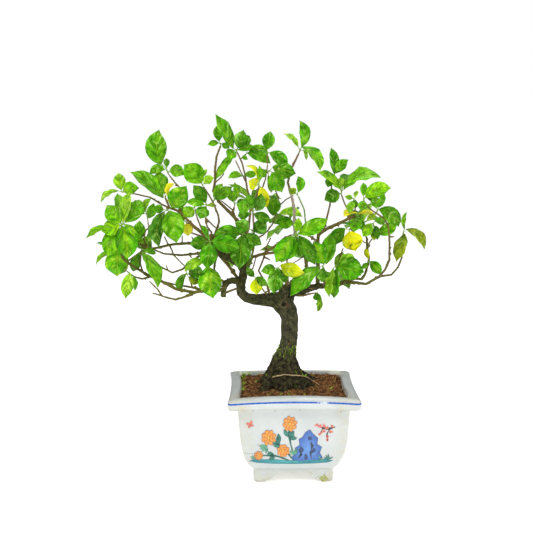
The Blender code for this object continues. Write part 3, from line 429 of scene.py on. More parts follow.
def growSpurs(bm):  # short dead spurs and bud scars along the twigs
    rng = random.Random(17)
    search = BVHTree.FromBMesh(bm)
    spots = [(f.calc_center_median(), f.normal.copy()) for f in bm.faces]
    weights = [f.calc_area() for f in bm.faces]
    grown = 0
    while grown < woodLook["spurs"]:
        place, normal = rng.choices(spots, weights)[0]
        inner = search.ray_cast(place - normal * 2e-5, -normal, 0.05)
        if place.z < 0.2 or not inner[0] or not 1.3 * mm < inner[3] < 8 * mm:
            continue
        loose = Vector((rng.uniform(-1, 1), rng.uniform(-1, 1), rng.uniform(-0.4, 1)))
        way = (normal + 0.6 * loose).normalized()
        length = rng.choice(woodLook["spurLengths"]) * rng.uniform(0.7, 1.2)
        points = [place - normal * 0.6 * mm, place + way * 0.5 * length * mm,
                  place + (way + 0.25 * loose) * length * mm]
        growTube(bm, points, [radius * mm for radius in woodLook["spurRadii"]], 6)
        grown += 1


def barkAt(spot, girth):  # how far the bark stands out in mm, and its colour
    look = woodLook
    along, across, knots = look["grainAlong"], look["grainAcross"], look["knots"]
    thick = ease(girth, 4.0, 13.0)
    foot = ease(spot.z, 0.150, 0.122)
    if spot.z < 0.204:  # the grain lies along the trunk, then along the crook
        lying = Vector((spot.x * across, spot.y * across, spot.z * along))
    elif spot.x < 0.028 and spot.z < 0.227 and girth > 8:
        lying = Vector((spot.x * along, spot.y * across, spot.z * across))
    else:
        lying = spot * 300
    strand = noise.noise(lying)
    crack = exp(-(strand / 0.13) ** 2) * thick
    lump = noise.noise(spot * look["lumps"])
    fuzz = noise.noise(spot * look["fuzz"])
    knot = max(0.0, noise.noise(spot * knots + Vector((7, 3, 1))) - 0.2) * ease(girth, 1.0, 3.0)
    rise = -look["crackDepth"] * crack + thick * (0.5 * lump + 0.25 * fuzz)
    rise += (1 - thick) * (look["twigSwell"] + 0.25 * fuzz + look["knotRise"] * knot)
    rise += foot * thick * (0.9 * strand + 1.5 * noise.noise(spot * knots + Vector((3, 9, 2))))
    away = ease(abs(spot.x - 0.03), 0.06, 0.09) * ease(spot.z, 0.302, 0.288)
    colour = mixed(look["twig"], look["olive"], ease(girth, 2.4, 4.2))
    colour = mixed(colour, look["olive"], 0.8 * away)
    stout = mixed(look["trunk"], look["limb"], ease(spot.z, 0.225, 0.24))
    colour = mixed(colour, stout, ease(girth, 4.0, 7.5))
    if 0.205 < spot.z < 0.24 and spot.x < 0.03:
        colour = mixed(colour, look["crook"], 0.7 * thick)
    colour = mixed(colour, look["base"], ease(spot.z + 0.007 * lump, 0.158, 0.142) * thick)
    if girth < 6:
        colour = zoneTint(spot, colour)
    mossy = ease(noise.noise(spot * 230 + Vector((1, 5, 8))) + 0.5 * fuzz, 0.12, 0.5)
    band = ease(spot.z, 0.170, 0.160) * ease(spot.z, 0.138, 0.150) * 0.8 + 0.05 * thick
    if -spot.x * 0.3 + spot.y < 0.03:
        colour = mixed(colour, look["moss"], mossy * band * 0.75)
    # painted shade: the bark is darker in its cracks
    colour = mixed(colour, scaled(colour, 0.42), crack * 0.75)
    if girth > 8 and 0.14 < spot.z < 0.235:
        lift, colour = markBark(spot, colour)
        rise += lift
    return rise, scaled(colour, 1.0 + 0.28 * noise.noise(spot * 240) + 0.2 * fuzz)


def makeWood():
    bm = upperPart("tree_wood", woodLook["rootCut"])
    growSpurs(bm)
    bm = remeshed(bm, woodLook["voxel"])
    smooth(bm, 0.5)
    smooth(bm, 0.5)
    bm.normal_update()
    search = BVHTree.FromBMesh(bm)
    girths = []
    for vert in bm.verts:
        hit = search.ray_cast(vert.co - vert.normal * 2e-5, -vert.normal, 0.09)
        girths.append(hit[3] / mm if hit[0] else 60.0)
    bm.verts.index_update()
    toneLayer = bm.verts.layers.float_color.new("tone")
    moves = []
    for vert in bm.verts:
        near = [girths[e.other_vert(vert).index] for e in vert.link_edges]
        rise, vert[toneLayer] = barkAt(vert.co, 0.5 * girths[vert.index] + 0.5 * sum(near) / len(near))
        moves.append(vert.normal * rise * mm)
    for vert, move in zip(bm.verts, moves):
        vert.co += move
    smooth(bm, 0.25)
    bmesh.ops.recalc_face_normals(bm, faces=bm.faces)
    tree = BVHTree.FromBMesh(bm)
    triangles = sum(len(face.verts) - 2 for face in bm.faces)
    mesh = shaped(meshOf(bm), "DECIMATE", ratio=min(1.0, woodLook["mostFaces"] / triangles))
    print("wood:", triangles, "triangles made", len(mesh.polygons))
    addPiece("bonsaiWood", mesh, [grainySkin("barkSkin", **woodLook["skin"])], "bark", "tree_wood")
    return tree


woodTree = makeWood()


# leaves

leafLook = {
    "thickness": 0.34,
    "swell": 1.11,  # breadth against the frame's
    "fold": 0.34,  # how steeply the halves rise from the midrib
    "ripple": 0.08,
    "curl": 0.16,
    # rows from foot to point, each with its share of the full breadth
    "rows": [(0.0, 0.06), (0.06, 0.27), (0.15, 0.56), (0.27, 0.82), (0.40, 0.96), (0.53, 1.0),
             (0.66, 0.91), (0.77, 0.71), (0.86, 0.43), (0.935, 0.17), (1.0, 0.0)],
    "across": 6,
    "veins": 9.0,
    "veinSlant": 6.0,
    "ribWidth": (0.010, 0.035),
    "stem": (ink(120, 170, 50), ink(122, 112, 70)),
    "under": ink(150, 198, 84),
    "skin": {
        "fixed": {"Specular IOR Level": 0.4},
        "grain": (700.0, (1, 1, 0.6)),
        "shades": (grey(0.7), grey(1.2)),
        "rough": (0.75, 0.5),
        "bump": (0.0002, 0.5),
    },
}
# main colour, second colour, and where the second one lies
leafTones = {
    "dark": (ink(48, 118, 6), ink(88, 146, 40), "cloud"),
    "deep": (ink(44, 114, 12), ink(104, 164, 84), "half"),
    "green": (ink(56, 144, 4), ink(98, 170, 24), "cloud"),
    "dusky": (ink(60, 132, 8), ink(98, 156, 36), "cloud"),
    "grass": (ink(76, 160, 4), ink(120, 184, 32), "cloud"),
    "soft": (ink(80, 162, 12), ink(128, 188, 52), "cloud"),
    "vivid": (ink(94, 178, 5), ink(140, 202, 42), "cloud"),
    "misty": (ink(100, 182, 16), ink(150, 204, 70), "cloud"),
    "olive": (ink(134, 166, 36), ink(164, 182, 66), "cloud"),
    "lime": (ink(122, 194, 8), ink(166, 212, 54), "cloud"),
    "pale": (ink(150, 208, 52), ink(184, 224, 100), "cloud"),
    "sallow": (ink(206, 216, 14), ink(232, 232, 60), "cloud"),
    "mottled": (ink(86, 172, 6), ink(162, 206, 66), "patch"),
    "sheen": (ink(66, 142, 14), ink(146, 198, 120), "half"),
    "hollow": (ink(74, 164, 4), ink(152, 196, 34), "middle"),
    "yellow": (ink(250, 232, 8), ink(255, 243, 84), "cloud"),
    "amber": (ink(252, 234, 16), ink(255, 244, 100), "cloud"),
    "spotted": (ink(226, 222, 14), ink(110, 96, 16), "spots"),
    "brown": (ink(142, 156, 44), ink(170, 172, 62), "patch"),
}
# for each shoot, the tones of its leaves from the lowest point to the highest
shootTones = {
    "centre_a": "dark green grass grass deep",
    "centre_b": "dark sheen deep",
    "centre_spur": "dark soft lime",
    "crown_left_a": "yellow soft grass",
    "crown_left_b": "misty misty grass soft",
    "crown_left_c": "deep misty soft mottled",
    "crown_left_e": "pale pale vivid",
    "crown_mid_a": "dusky misty",
    "crown_mid_c": "misty grass",
    "crown_right_a": "green green",
    "crown_right_b": "pale grass soft dusky",
    "crown_right_c": "soft pale pale grass",
    "crown_right_d": "dusky pale misty green lime",
    "crown_right_e": "vivid grass green",
    "crown_top_a": "green misty soft",
    "crown_top_b": "misty vivid misty dusky sheen soft",
    "crown_top_c": "grass misty misty",
    "far_right": "brown brown lime",
    "inner_left_a": "lime green",
    "inner_left_b": "yellow lime",
    "inner_left_c": "soft olive misty dark",
    "left_centre_whorl": "green green dark grass",
    "left_low": "misty dusky soft",
    "left_mid": "lime grass",
    "left_outer": "mottled lime green",
    "left_tip": "pale misty",
    "left_top_a": "pale lime pale",
    "left_top_b": "vivid lime lime",
    "left_under_a": "mottled pale",
    "left_under_b": "dusky brown deep",
    "left_whorl": "hollow vivid lime lime lime vivid grass vivid pale",
    "mid_right_b": "olive soft",
    "mid_right_c": "grass pale dusky",
    "right_inner": "hollow soft sallow",
    "right_low_a": "grass sheen hollow grass",
    "right_low_b": "grass pale green pale",
    "right_mid_b": "spotted dark",
    "right_mid_c": "olive dark lime vivid soft",
    "right_top_a": "soft dark lime misty",
    "right_top_b": "dusky olive soft grass",
    "right_top_c": "lime dusky pale pale",
    "right_under": "pale green",
    "right_whorl": "dark hollow vivid sheen vivid lime",
    "trunk_front": "sheen dark sallow grass",
    "trunk_whorl": "dark vivid dark green",
    "yellow_a": "spotted sallow lime sallow",
    "yellow_b": "sallow dusky dark",
    "yellow_c": "vivid vivid amber yellow",
}
rearTones = ["green", "dark", "vivid", "dark", "deep", "lime", "grass"]


def leafMaterial():
    kit = newSkin("leafSkin", {"Specular IOR Level": 0.3, "Specular Tint": (0.6, 1.0, 0.2, 1.0)})
    tone = kit.attribute("tone")
    flat = kit.split("XYZ", kit.put("UVMap", uv_map="blade").outputs[0])
    side = kit.apart(flat[0], 0.5)
    rib = kit.remap(side, *leafLook["ribWidth"], 1.0, 0.0)
    sway = kit.put("TexNoise", {"Vector": kit.where, "Scale": 160.0, "Detail": 2.0}).outputs["Fac"]
    phase = kit.minus(kit.times(flat[1], leafLook["veins"]), kit.times(side, leafLook["veinSlant"]))
    phase = kit.plus(phase, kit.times(sway, 0.9))
    wave = kit.apart(kit.sums("FRACT", phase), 0.5)
    vein = kit.times(kit.remap(wave, 0.40, 0.49), kit.remap(side, 0.34, 0.49, 1.0, 0.0))
    cloud = kit.shared("mottle", 150.0, 0.38, 0.62)
    crumb = kit.shared("mottle", 430.0, 0.36, 0.64)
    fleck = kit.shared("specks", 420.0, 0.3, 0.05)
    # streaks that lie along the veins and differ from leaf to leaf
    slant = kit.put("CombineXYZ", {0: kit.times(side, 3.0), 1: phase, 2: sway}).outputs[0]
    place = kit.put("VectorMath", {0: kit.where, "Scale": 24.0}, operation="SCALE").outputs[0]
    drift = kit.put("VectorMath", {0: slant, 1: place}, operation="ADD").outputs[0]
    gleam = kit.shared("mottle", 1.0, 0.55, 0.68, where=drift)
    streak = kit.shared("mottle", 0.62, 0.38, 0.60, where=drift)
    kit.shade = kit.mix(streak, (0.42, 0.58, 0.22, 1), (1.16, 1.13, 0.9, 1))
    kit.tint(kit.mix(cloud, (0.64, 0.76, 0.45, 1), (1.14, 1.10, 0.9, 1)))
    kit.tint(kit.mix(crumb, (0.82, 0.86, 0.6, 1), (1.1, 1.1, 1.0, 1)))
    # yellow leaves keep little of that pattern
    kit.lay(kit.remap(kit.split("Color", tone["Color"])[0], 0.45, 0.8, 0.0, 0.82), (1.0, 0.98, 0.75, 1))
    kit.shade = kit.mix(1.0, tone["Color"], kit.shade, "MULTIPLY")
    pale = kit.mix(0.5, kit.shade, ink(186, 220, 50))
    kit.lay(vein, pale, 0.42)
    kit.lay(rib, pale, 0.6)
    kit.lay(gleam, ink(196, 230, 124), 0.48)
    kit.lay(fleck, ink(96, 92, 20), 0.5)
    rough = kit.mix(kit.remap(tone["Alpha"], 0.3, 0.7), grey(0.68), grey(0.34))  # duller below
    rough = kit.mix(kit.times(cloud, 0.35), rough, grey(0.55))
    relief = kit.minus(kit.minus(kit.times(cloud, 0.9), kit.times(vein, 0.6)), rib)
    return kit.wire(rough, relief, 0.0006, 0.9)


leafSkin, youngStem = leafMaterial(), grainySkin("youngStem", **leafLook["skin"])


def findBlades(bm):  # every leaf of a shoot: its point and the rings of four below it
    blades = []
    for tip in bm.verts:
        if len(tip.link_edges) != 4 or sum(c.calc_angle() for c in tip.link_loops) > radians(250):
            continue
        rings, known, rim = [], {tip}, [tip]
        while len(rings) < 4:
            near = {e.other_vert(v) for v in rim for e in v.link_edges} - known
            if len(near) != 4:
                break
            rim = sorted(near, key=lambda v: v.index)  # the same order in each run
            rings.append(rim)
            known |= near
        if len(rings) >= 3:
            blades.append((tip, rings))
    return sorted(blades, key=lambda b: (round(b[0].co.z, 6), round(b[0].co.x, 6)))


def bladeShape(tip, rings):  # the midline, its upper side and breadth, from the frame's leaf
    stops, places, lifts, breadth = [1.0], [tip.co.copy()], [], 0.0
    for share, ring in zip((0.78, 0.52, 0.24), rings):
        spots = [v.co.copy() for v in ring]
        pairs = [(a, b) for a in range(4) for b in range(a + 1, 4)]
        left, right = max(pairs, key=lambda p: (spots[p[0]] - spots[p[1]]).length)
        others = [spots[k] for k in range(4) if k not in (left, right)]
        middle = (others[0] + others[1]) / 2
        lifts.append(((spots[left] + spots[right]) / 2 - middle).normalized())
        breadth = max(breadth, (spots[left] - spots[right]).length)
        stops.append(share)
        places.append(middle)
    if len(rings) > 3:
        foot = sum((v.co for v in rings[3]), Vector()) / 4
    else:
        foot = places[3] + (places[3] - places[2]) * (0.24 / 0.28)
    foot -= (places[3] - foot).normalized() * 0.8 * mm
    return [0.0] + stops[::-1], [foot] + places[::-1], lifts[::-1], breadth


def tintAt(tone, across, share, spot, brightHalf):
    main, second, where = leafTones[tone]
    cloud = 0.5 + 0.5 * noise.noise(spot * 95)
    if where == "cloud":
        amount = ease(cloud, 0.3, 0.8) * 0.8
    elif where == "patch":
        amount = ease(noise.noise(spot * 170 + Vector((4, 4, 1))), 0.0, 0.25)
    # painted sheen: the second colour lies on the half that is painted lighter
    elif where == "half":
        amount = ease(across * brightHalf + 0.5 * (cloud - 0.5), 0.15, 0.65) * 0.85
    elif where == "middle":
        amount = ease(abs(across), 0.55, 0.05) * (0.5 + 0.5 * cloud)
    else:  # spots
        amount = ease(noise.noise(spot * 330), 0.28, 0.42) * ease(share, 0.35, 0.75)
    return mixed(main, second, amount)


def growBlade(bm, layers, blade, tone, rng):
    look = leafLook
    toneLayer, uvLayer = layers
    stops, places, lifts, breadth = blade
    length = (places[-1] - places[0]).length
    rows = look["rows"]
    last = len(rows) - 1
    known = set(bm.faces)
    made = bmesh.ops.create_grid(bm, x_segments=look["across"], y_segments=last, size=1.0)["verts"]
    fold = look["fold"] * rng.uniform(0.55, 1.15)
    ripple = look["ripple"] * rng.uniform(0.5, 1.5)
    turnPhase, curl = rng.uniform(0, 6.3), look["curl"] * rng.uniform(-0.2, 1.0)
    lobed, brightHalf = rng.uniform(0.94, 1.06), 1 if rng.random() < 0.5 else -1
    spread = {vert: (vert.co.x, round((vert.co.y + 1) / 2 * last)) for vert in made}
    middles = [curvePoint(stops, places, share) for share, _ in rows]
    for vert, (side, row) in spread.items():
        share, width = rows[row]
        along = (middles[min(row + 1, last)] - middles[max(row - 1, 0)]).normalized()
        lift = lifts[0].lerp(lifts[1], ease(share, 0.24, 0.52)).lerp(lifts[2], ease(share, 0.52, 0.78))
        lift = (lift - along * lift.dot(along)).normalized()
        sideways = along.cross(lift).normalized()
        reach = max(0.5 * breadth * width * look["swell"] * (lobed if side > 0 else 2 - lobed),
                    0.6 * mm if share < 0.5 else 0.0)
        swing = sin(15 * share + turnPhase + (1.9 if side > 0 else 0))
        wave = ripple * breadth * side * side * swing
        crease = 0.02 * breadth * noise.noise(middles[row] * 130 + Vector((0, 0, 3 * side)))
        height = reach * (fold * abs(side) - 0.05 * side * side)
        height += (wave + crease) * sin(pi * share)
        height -= curl * length * max(0.0, share - 0.62) ** 2 * 1.6
        vert.co = middles[row] + sideways * (side * reach) + lift * height
        for corner in vert.link_loops:
            corner[uvLayer].uv = (0.5 + 0.5 * side, share)
        bright = 1 + 0.2 * side * brightHalf  # one half faces the light more
        vert[toneLayer] = scaled(tintAt(tone, side, share, vert.co, brightHalf), bright)
    bmesh.ops.remove_doubles(bm, verts=made, dist=5e-6)
    fresh = [f for f in bm.faces if f not in known]
    bmesh.ops.recalc_face_normals(bm, faces=fresh)
    middle = fresh[len(fresh) // 2]
    middle.normal_update()
    if middle.normal.dot(lifts[1]) < 0:
        bmesh.ops.reverse_faces(bm, faces=fresh)
    above = {v for f in fresh for v in f.verts}
    made = bmesh.ops.solidify(bm, geom=fresh, thickness=look["thickness"] * mm)
    for vert in newVerts(made):
        if vert not in above:
            vert[toneLayer] = (*mixed(vert[toneLayer], look["under"], 0.35)[:3], 0.0)


def makeShoot(name):
    bm = mergedCopy(name)
    blades = findBlades(bm)
    shapes = [bladeShape(tip, rings) for tip, rings in blades]
    gone = [v for tip, rings in blades for v in (tip, *rings[0], *rings[1], *rings[2])]
    bmesh.ops.delete(bm, geom=gone, context="VERTS")
    fillHoles(bm)
    bmesh.ops.subdivide_edges(bm, edges=bm.edges[:], cuts=1, use_grid_fill=True)
    splitBigFaces(bm)
    smooth(bm, 0.4)
    toneLayer = bm.verts.layers.float_color.new("tone")
    uvLayer = bm.loops.layers.uv.new("blade")
    bm.normal_update()
    gaps = [(woodTree.find_nearest(v.co)[3], v) for v in bm.verts]
    start = min(gaps, key=lambda g: g[0])[1].co.copy()
    for _, vert in gaps:
        near = min((vert.co - shape[1][0]).length for shape in shapes) / mm
        vert[toneLayer] = mixed(*leafLook["stem"], ease(near, 1.5, 5.0))
    moves = []
    for gap, vert in gaps:
        if (vert.co - start).length < 1.9 * mm and gap < 1.3 * mm:  # the foot goes into the twig
            place, normal = woodTree.find_nearest(vert.co)[:2]
            moves.append((vert, place - normal * 0.6 * mm))
        else:
            moves.append((vert, vert.co + vert.normal * 0.14 * mm))
    for vert, place in moves:
        vert.co = place
    for face in bm.faces:
        face.material_index = 1
    listed = shootTones.get(name[6:], "").split()
    for number, shape in enumerate(shapes):
        rng = random.Random(name + str(number))
        tone = listed[number % len(listed)] if listed else rng.choice(rearTones)
        growBlade(bm, (toneLayer, uvLayer), shape, tone, rng)
    addPiece(name.replace("shoot_", "leaves_"), meshOf(bm), [leafSkin, youngStem], "leaf", name)
    return len(blades)


leafCount = sum(makeShoot(name) for name in sorted(nodes) if name.startswith("shoot_"))
print("leaves:", leafCount)


# pot

potLow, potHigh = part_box("pot")
potX = (potLow[0] + potHigh[0]) / 2 / mm
potLook = {
    "corner": 6.0,
    "innerCorner": 4.5,
    "bow": 2.6,
    "rimSag": 2.2,
    "wobble": 0.22,
    # height and half width, outside from the soles to the lip, then inside down to the floor
    "outside": [(0, 47.6), (1.2, 48.6), (4.5, 49.1), (9, 49.3), (13, 49.1), (15.5, 49.2), (17.4, 50.4),
                (19, 51.9), (21, 53.8), (25, 56.6), (30, 59.0), (35, 61.0), (41, 62.7), (48, 64.0),
                (55, 65.1), (65, 66.1), (76, 66.9), (88, 67.7), (96.5, 68.3), (97.7, 69.2),
                (98.2, 71.2), (98.5, 74.4), (98.9, 77.4), (99.8, 79.2), (102.6, 79.9),
                (106.9, 80.2), (109.0, 80.1), (110.2, 79.6), (111.2, 78.6)],
    "inside": [(112.4, 75.0), (113.1, 71.6), (113.4, 69.2), (113.2, 67.8), (111.7, 66.6),
               (107, 65.6), (97, 64.4), (76, 62.4), (52, 60.0), (34, 54.0), (25, 47.0), (20, 40.0)],
    "blueBand": 109.0,  # height of the ring that closes the band
    "arch": [(-35, -1), (-34.6, 1.2), (-32.4, 2.5), (-29, 3.5), (-26.4, 5.2), (-24, 7.7),
             (-22.6, 9.6), (-20.9, 11.3), (-18.6, 12.3), (-15, 12.6)],
    "drain": 8.0,
    "softEdge": 0.5,  # bevel on the feet
    "crackHeight": 40.4,
    "bigPits": ((-5.4, 95.1), (20.9, 94.7), (99.9, 93.6), (50.9, 95.5), (-22.0, 76.0)),
    "glaze": (ink(195, 200, 198), ink(186, 192, 190)),
    "band": (ink(10, 70, 168), ink(36, 100, 192)),
}


def squareRing(z, half, corner):  # places of one ring, 24 to a side with its corner
    bow = potLook["bow"] * min(1, max(0, (z - 15) / 60))
    lip = min(1, max(0, (z - 80) / 20))
    places = []
    for quarter in range(4):
        turn = Matrix.Rotation(pi / 2 * quarter, 3, "Z")
        for step in range(17):
            along = -1 + step / 8.5
            places.append(turn @ Vector((half - bow * (1 - along * along), (half - corner) * along, z)))
        for step in range(7):
            angle = pi / 2 * (step / 7)
            places.append(turn @ Vector((half - corner + corner * cos(angle),
                                         half - corner + corner * sin(angle), z)))
    for place in places:
        sag = potLook["rimSag"] * min(1, (place.x * place.y / half ** 2) ** 2) * lip
        grow = 1 - 0.003 + 0.01 * (noise.noise(place * 0.03) * potLook["wobble"])
        place.x, place.y = place.x * grow, place.y * grow
        place.z -= sag
        place.x += potX
    return [place * mm for place in places]


def glazeMaterial():
    kit = newSkin("potGlaze", {"Coat Weight": 0.6, "Coat Roughness": 0.08, "Specular IOR Level": 0.5})
    rust, grimeAndShade, paintedWallLight = kit.split("Color", kit.attribute("marks")["Color"])
    across, deep, height = kit.split("XYZ", kit.where)
    front = kit.remap(deep, -0.056, -0.050, 1.0, 0.0)
    cloud = kit.shared("mottle", 26.0, 0.35, 0.7)
    blotch = kit.shared("mottle", 120.0, 0.42, 0.66)
    fine = kit.shared("mottle", 640.0, 0.4, 0.7)
    pits = kit.shared("specks", 95.0, 0.13, 0.10)
    small = kit.shared("specks", 260.0, 0.16, 0.07)
    kit.shade = kit.mix(cloud, *potLook["glaze"])
    kit.lay(fine, ink(216, 218, 212), 0.18)
    stain = kit.times(rust, kit.plus(kit.times(blotch, 0.8), 0.3))
    kit.lay(stain, ink(186, 176, 136), 0.7)
    # dirt at the soles and the inner rim, a dark line under the lip, and painted shade under the pot
    dirtAndShade = kit.times(grimeAndShade, kit.plus(kit.times(fine, 0.8), 0.15))
    kit.lay(dirtAndShade, ink(120, 104, 66))
    kit.lay(pits, ink(140, 128, 92), 0.75)
    # painted light: the inner wall above the soil is made lighter, where it lies in shade
    kit.lay(kit.remap(paintedWallLight, 0.3, 0.7), ink(232, 230, 214))
    level = kit.put("CombineXYZ", {0: across, 2: height}).outputs[0]
    for x, z in potLook["bigPits"]:
        offset = kit.put("VectorMath", {0: level, 1: (x * mm, 0, z * mm)}, operation="DISTANCE")
        hole = kit.remap(offset.outputs["Value"], 0.0004, 0.0012, 0.6, 0.0)
        kit.lay(kit.times(hole, front), ink(120, 90, 56))
    kit.lay(small, ink(150, 146, 128), 0.5)
    # a hairline crack at the left of the front
    sway = kit.put("TexNoise", {"Vector": kit.where, "Scale": 120.0}).outputs["Fac"]
    line = kit.plus(kit.times(sway, 0.002), potLook["crackHeight"] * mm)
    crack = kit.remap(kit.apart(height, line), 0.00015, 0.0005, 1.0, 0.0)
    for edge in (kit.remap(across, -0.004, 0.0, 1.0, 0.0), kit.remap(across, -0.0185, -0.0165), front):
        crack = kit.times(crack, edge)
    kit.lay(crack, ink(96, 96, 92), 0.7)
    rough = kit.remap(kit.plus(stain, dirtAndShade), 0.0, 1.0, 0.16, 0.6)
    return kit.wire(rough, kit.minus(kit.times(cloud, 0.5), kit.plus(pits, small)), 0.0004, 0.35)


def bandMaterial():
    kit = newSkin("blueBand", {"Coat Weight": 0.15, "Coat Roughness": 0.1})
    cloud = kit.shared("mottle", 420.0, 0.3, 0.7)
    across = kit.split("XYZ", kit.where)[0]
    worn = kit.remap(kit.apart(across, 0.0775), 0.003, 0.008, 1.0, 0.0)  # a gap in the line
    kit.shade = kit.mix(cloud, *potLook["band"])
    kit.lay(kit.times(worn, kit.times(cloud, 1.6)), ink(214, 222, 232))
    return kit.wire(kit.remap(cloud, 0.0, 1.0, 0.18, 0.35))


def extrudeRing(bm, ring, places, finish):  # carries the rim of a shell on to new places
    after = dict(zip(ring, ring[1:] + ring[:1]))
    loop = [next(e for e in vert.link_edges if e.other_vert(vert) == after[vert]) for vert in ring]
    made = bmesh.ops.extrude_edge_only(bm, edges=loop)
    target = dict(zip(ring, places))
    fresh = {}
    for vert in newVerts(made):
        old = next(e.other_vert(vert) for e in vert.link_edges if e.other_vert(vert) in target)
        vert.co = target[old]
        fresh[old] = vert
    for item in made["geom"]:
        if isinstance(item, bmesh.types.BMFace):
            item.material_index = finish
    return [fresh[old] for old in ring]


def archCutter(turn):
    arch = potLook["arch"] + [(-x, z) for x, z in reversed(potLook["arch"])]
    bm = bmesh.new()
    made = bmesh.ops.create_circle(bm, cap_ends=True, segments=len(arch), radius=0.03)["verts"]
    spin = Matrix.Rotation(radians(turn), 3, "Z")
    for vert, (x, z) in zip(made, arch):
        vert.co = (Vector((potX, 0, 0)) + spin @ Vector((x, -60, z))) * mm
    for vert in newVerts(bmesh.ops.extrude_face_region(bm, geom=bm.faces[:])):
        vert.co += spin @ Vector((0, 120, 0)) * mm
    bmesh.ops.recalc_face_normals(bm, faces=bm.faces)
    return meshOf(bm)


def drainCutter():
    bm = bmesh.new()
    radius = potLook["drain"] * mm
    bmesh.ops.create_cone(bm, cap_ends=True, segments=40, radius1=radius, radius2=radius, depth=20 * mm,
                          matrix=Matrix.Translation((potX * mm, 0, 16 * mm)))
    return meshOf(bm)


def glazeMarks(place, normal):  # how rusty; how grimy, with painted shade under the pot; and whether it is the inner wall, which is painted lighter
    x, y, z = abs(place.x / mm - potX), place.y / mm, place.z / mm
    near, far = min(x, abs(y)), max(x, abs(y))
    edge = ease(near, 44, 58) if z > 18 else ease(near, 38, 47)
    rust = 0.55 * edge + 0.75 * ease(z, 7, 1.5)
    rust += 0.8 * ease(abs(z - 12.6), 3.2, 0.8) * (near < 30)
    rust += 0.35 * ease(z, 14, 10) + 0.3 * ease(abs(z - 99.5), 3, 0.8)
    # painted shade: the undersides and the low back between the feet are darkened
    under = max(normal.z < -0.4 and z < 18, 0.9 * (z < 14 and y > -40 and near < 38))
    inner = far < 69 and 104 < z < 113
    grimeAndShade = 0.55 * under + 0.5 * inner + 0.25 * ease(z, 2.6, 0.6) + 0.35 * ease(abs(z - 98), 1.6, 0.4)
    return (min(1, rust), min(1, grimeAndShade), float(106 < z < 110.5 and far < 68.5), 1.0)


def makePot():
    look = potLook
    bm = bmesh.new()
    rings = [(z, half, look["corner"]) for z, half in look["outside"]]
    rings += [(z, half, look["innerCorner"]) for z, half in look["inside"]]
    first = squareRing(*rings[0])
    ring = bmesh.ops.create_circle(bm, cap_ends=True, segments=len(first), radius=0.05)["verts"]
    for vert, place in zip(ring, first):
        vert.co = place
    for z, half, corner in rings[1:]:
        ring = extrudeRing(bm, ring, squareRing(z, half, corner), 1 if z == look["blueBand"] else 0)
    bmesh.ops.contextual_create(bm, geom=[e for e in bm.edges if e.is_boundary])
    bmesh.ops.recalc_face_normals(bm, faces=bm.faces)
    shell = meshOf(bm)
    finishes = [glazeMaterial(), bandMaterial()]
    for finish in finishes:
        shell.materials.append(finish)
    for cutter in (archCutter(0), archCutter(90), drainCutter()):
        tool = linked("tool", cutter)
        shell = shaped(shell, "BOOLEAN", operation="DIFFERENCE", solver="EXACT", object=tool)
        bpy.data.objects.remove(tool)
    bm = opened(shell)
    bmesh.ops.remove_doubles(bm, verts=bm.verts, dist=5e-6)
    sharp = [e for e in bm.edges if len(e.link_faces) == 2 and e.calc_face_angle() > radians(38)
             and max(v.co.z for v in e.verts) < 0.0135]
    bmesh.ops.bevel(bm, geom=sharp, offset=look["softEdge"] * mm, offset_type="OFFSET", segments=2,
                    profile=0.5, affect="EDGES", material=-1, clamp_overlap=True)
    splitBigFaces(bm)
    marks = bm.verts.layers.float_color.new("marks")
    for vert in bm.verts:
        vert[marks] = glazeMarks(vert.co, vert.normal)
    mesh = meshOf(bm, sharp=50)
    addPiece("potBowl", mesh, finishes, "glazed_porcelain", "pot")
    print("pot:", len(mesh.polygons), "faces")
    return BVHTree.FromBMesh(opened(mesh))


potTree = makePot()

# enamel painting on the front: a garden rock, blooms, budding twig and a butterfly

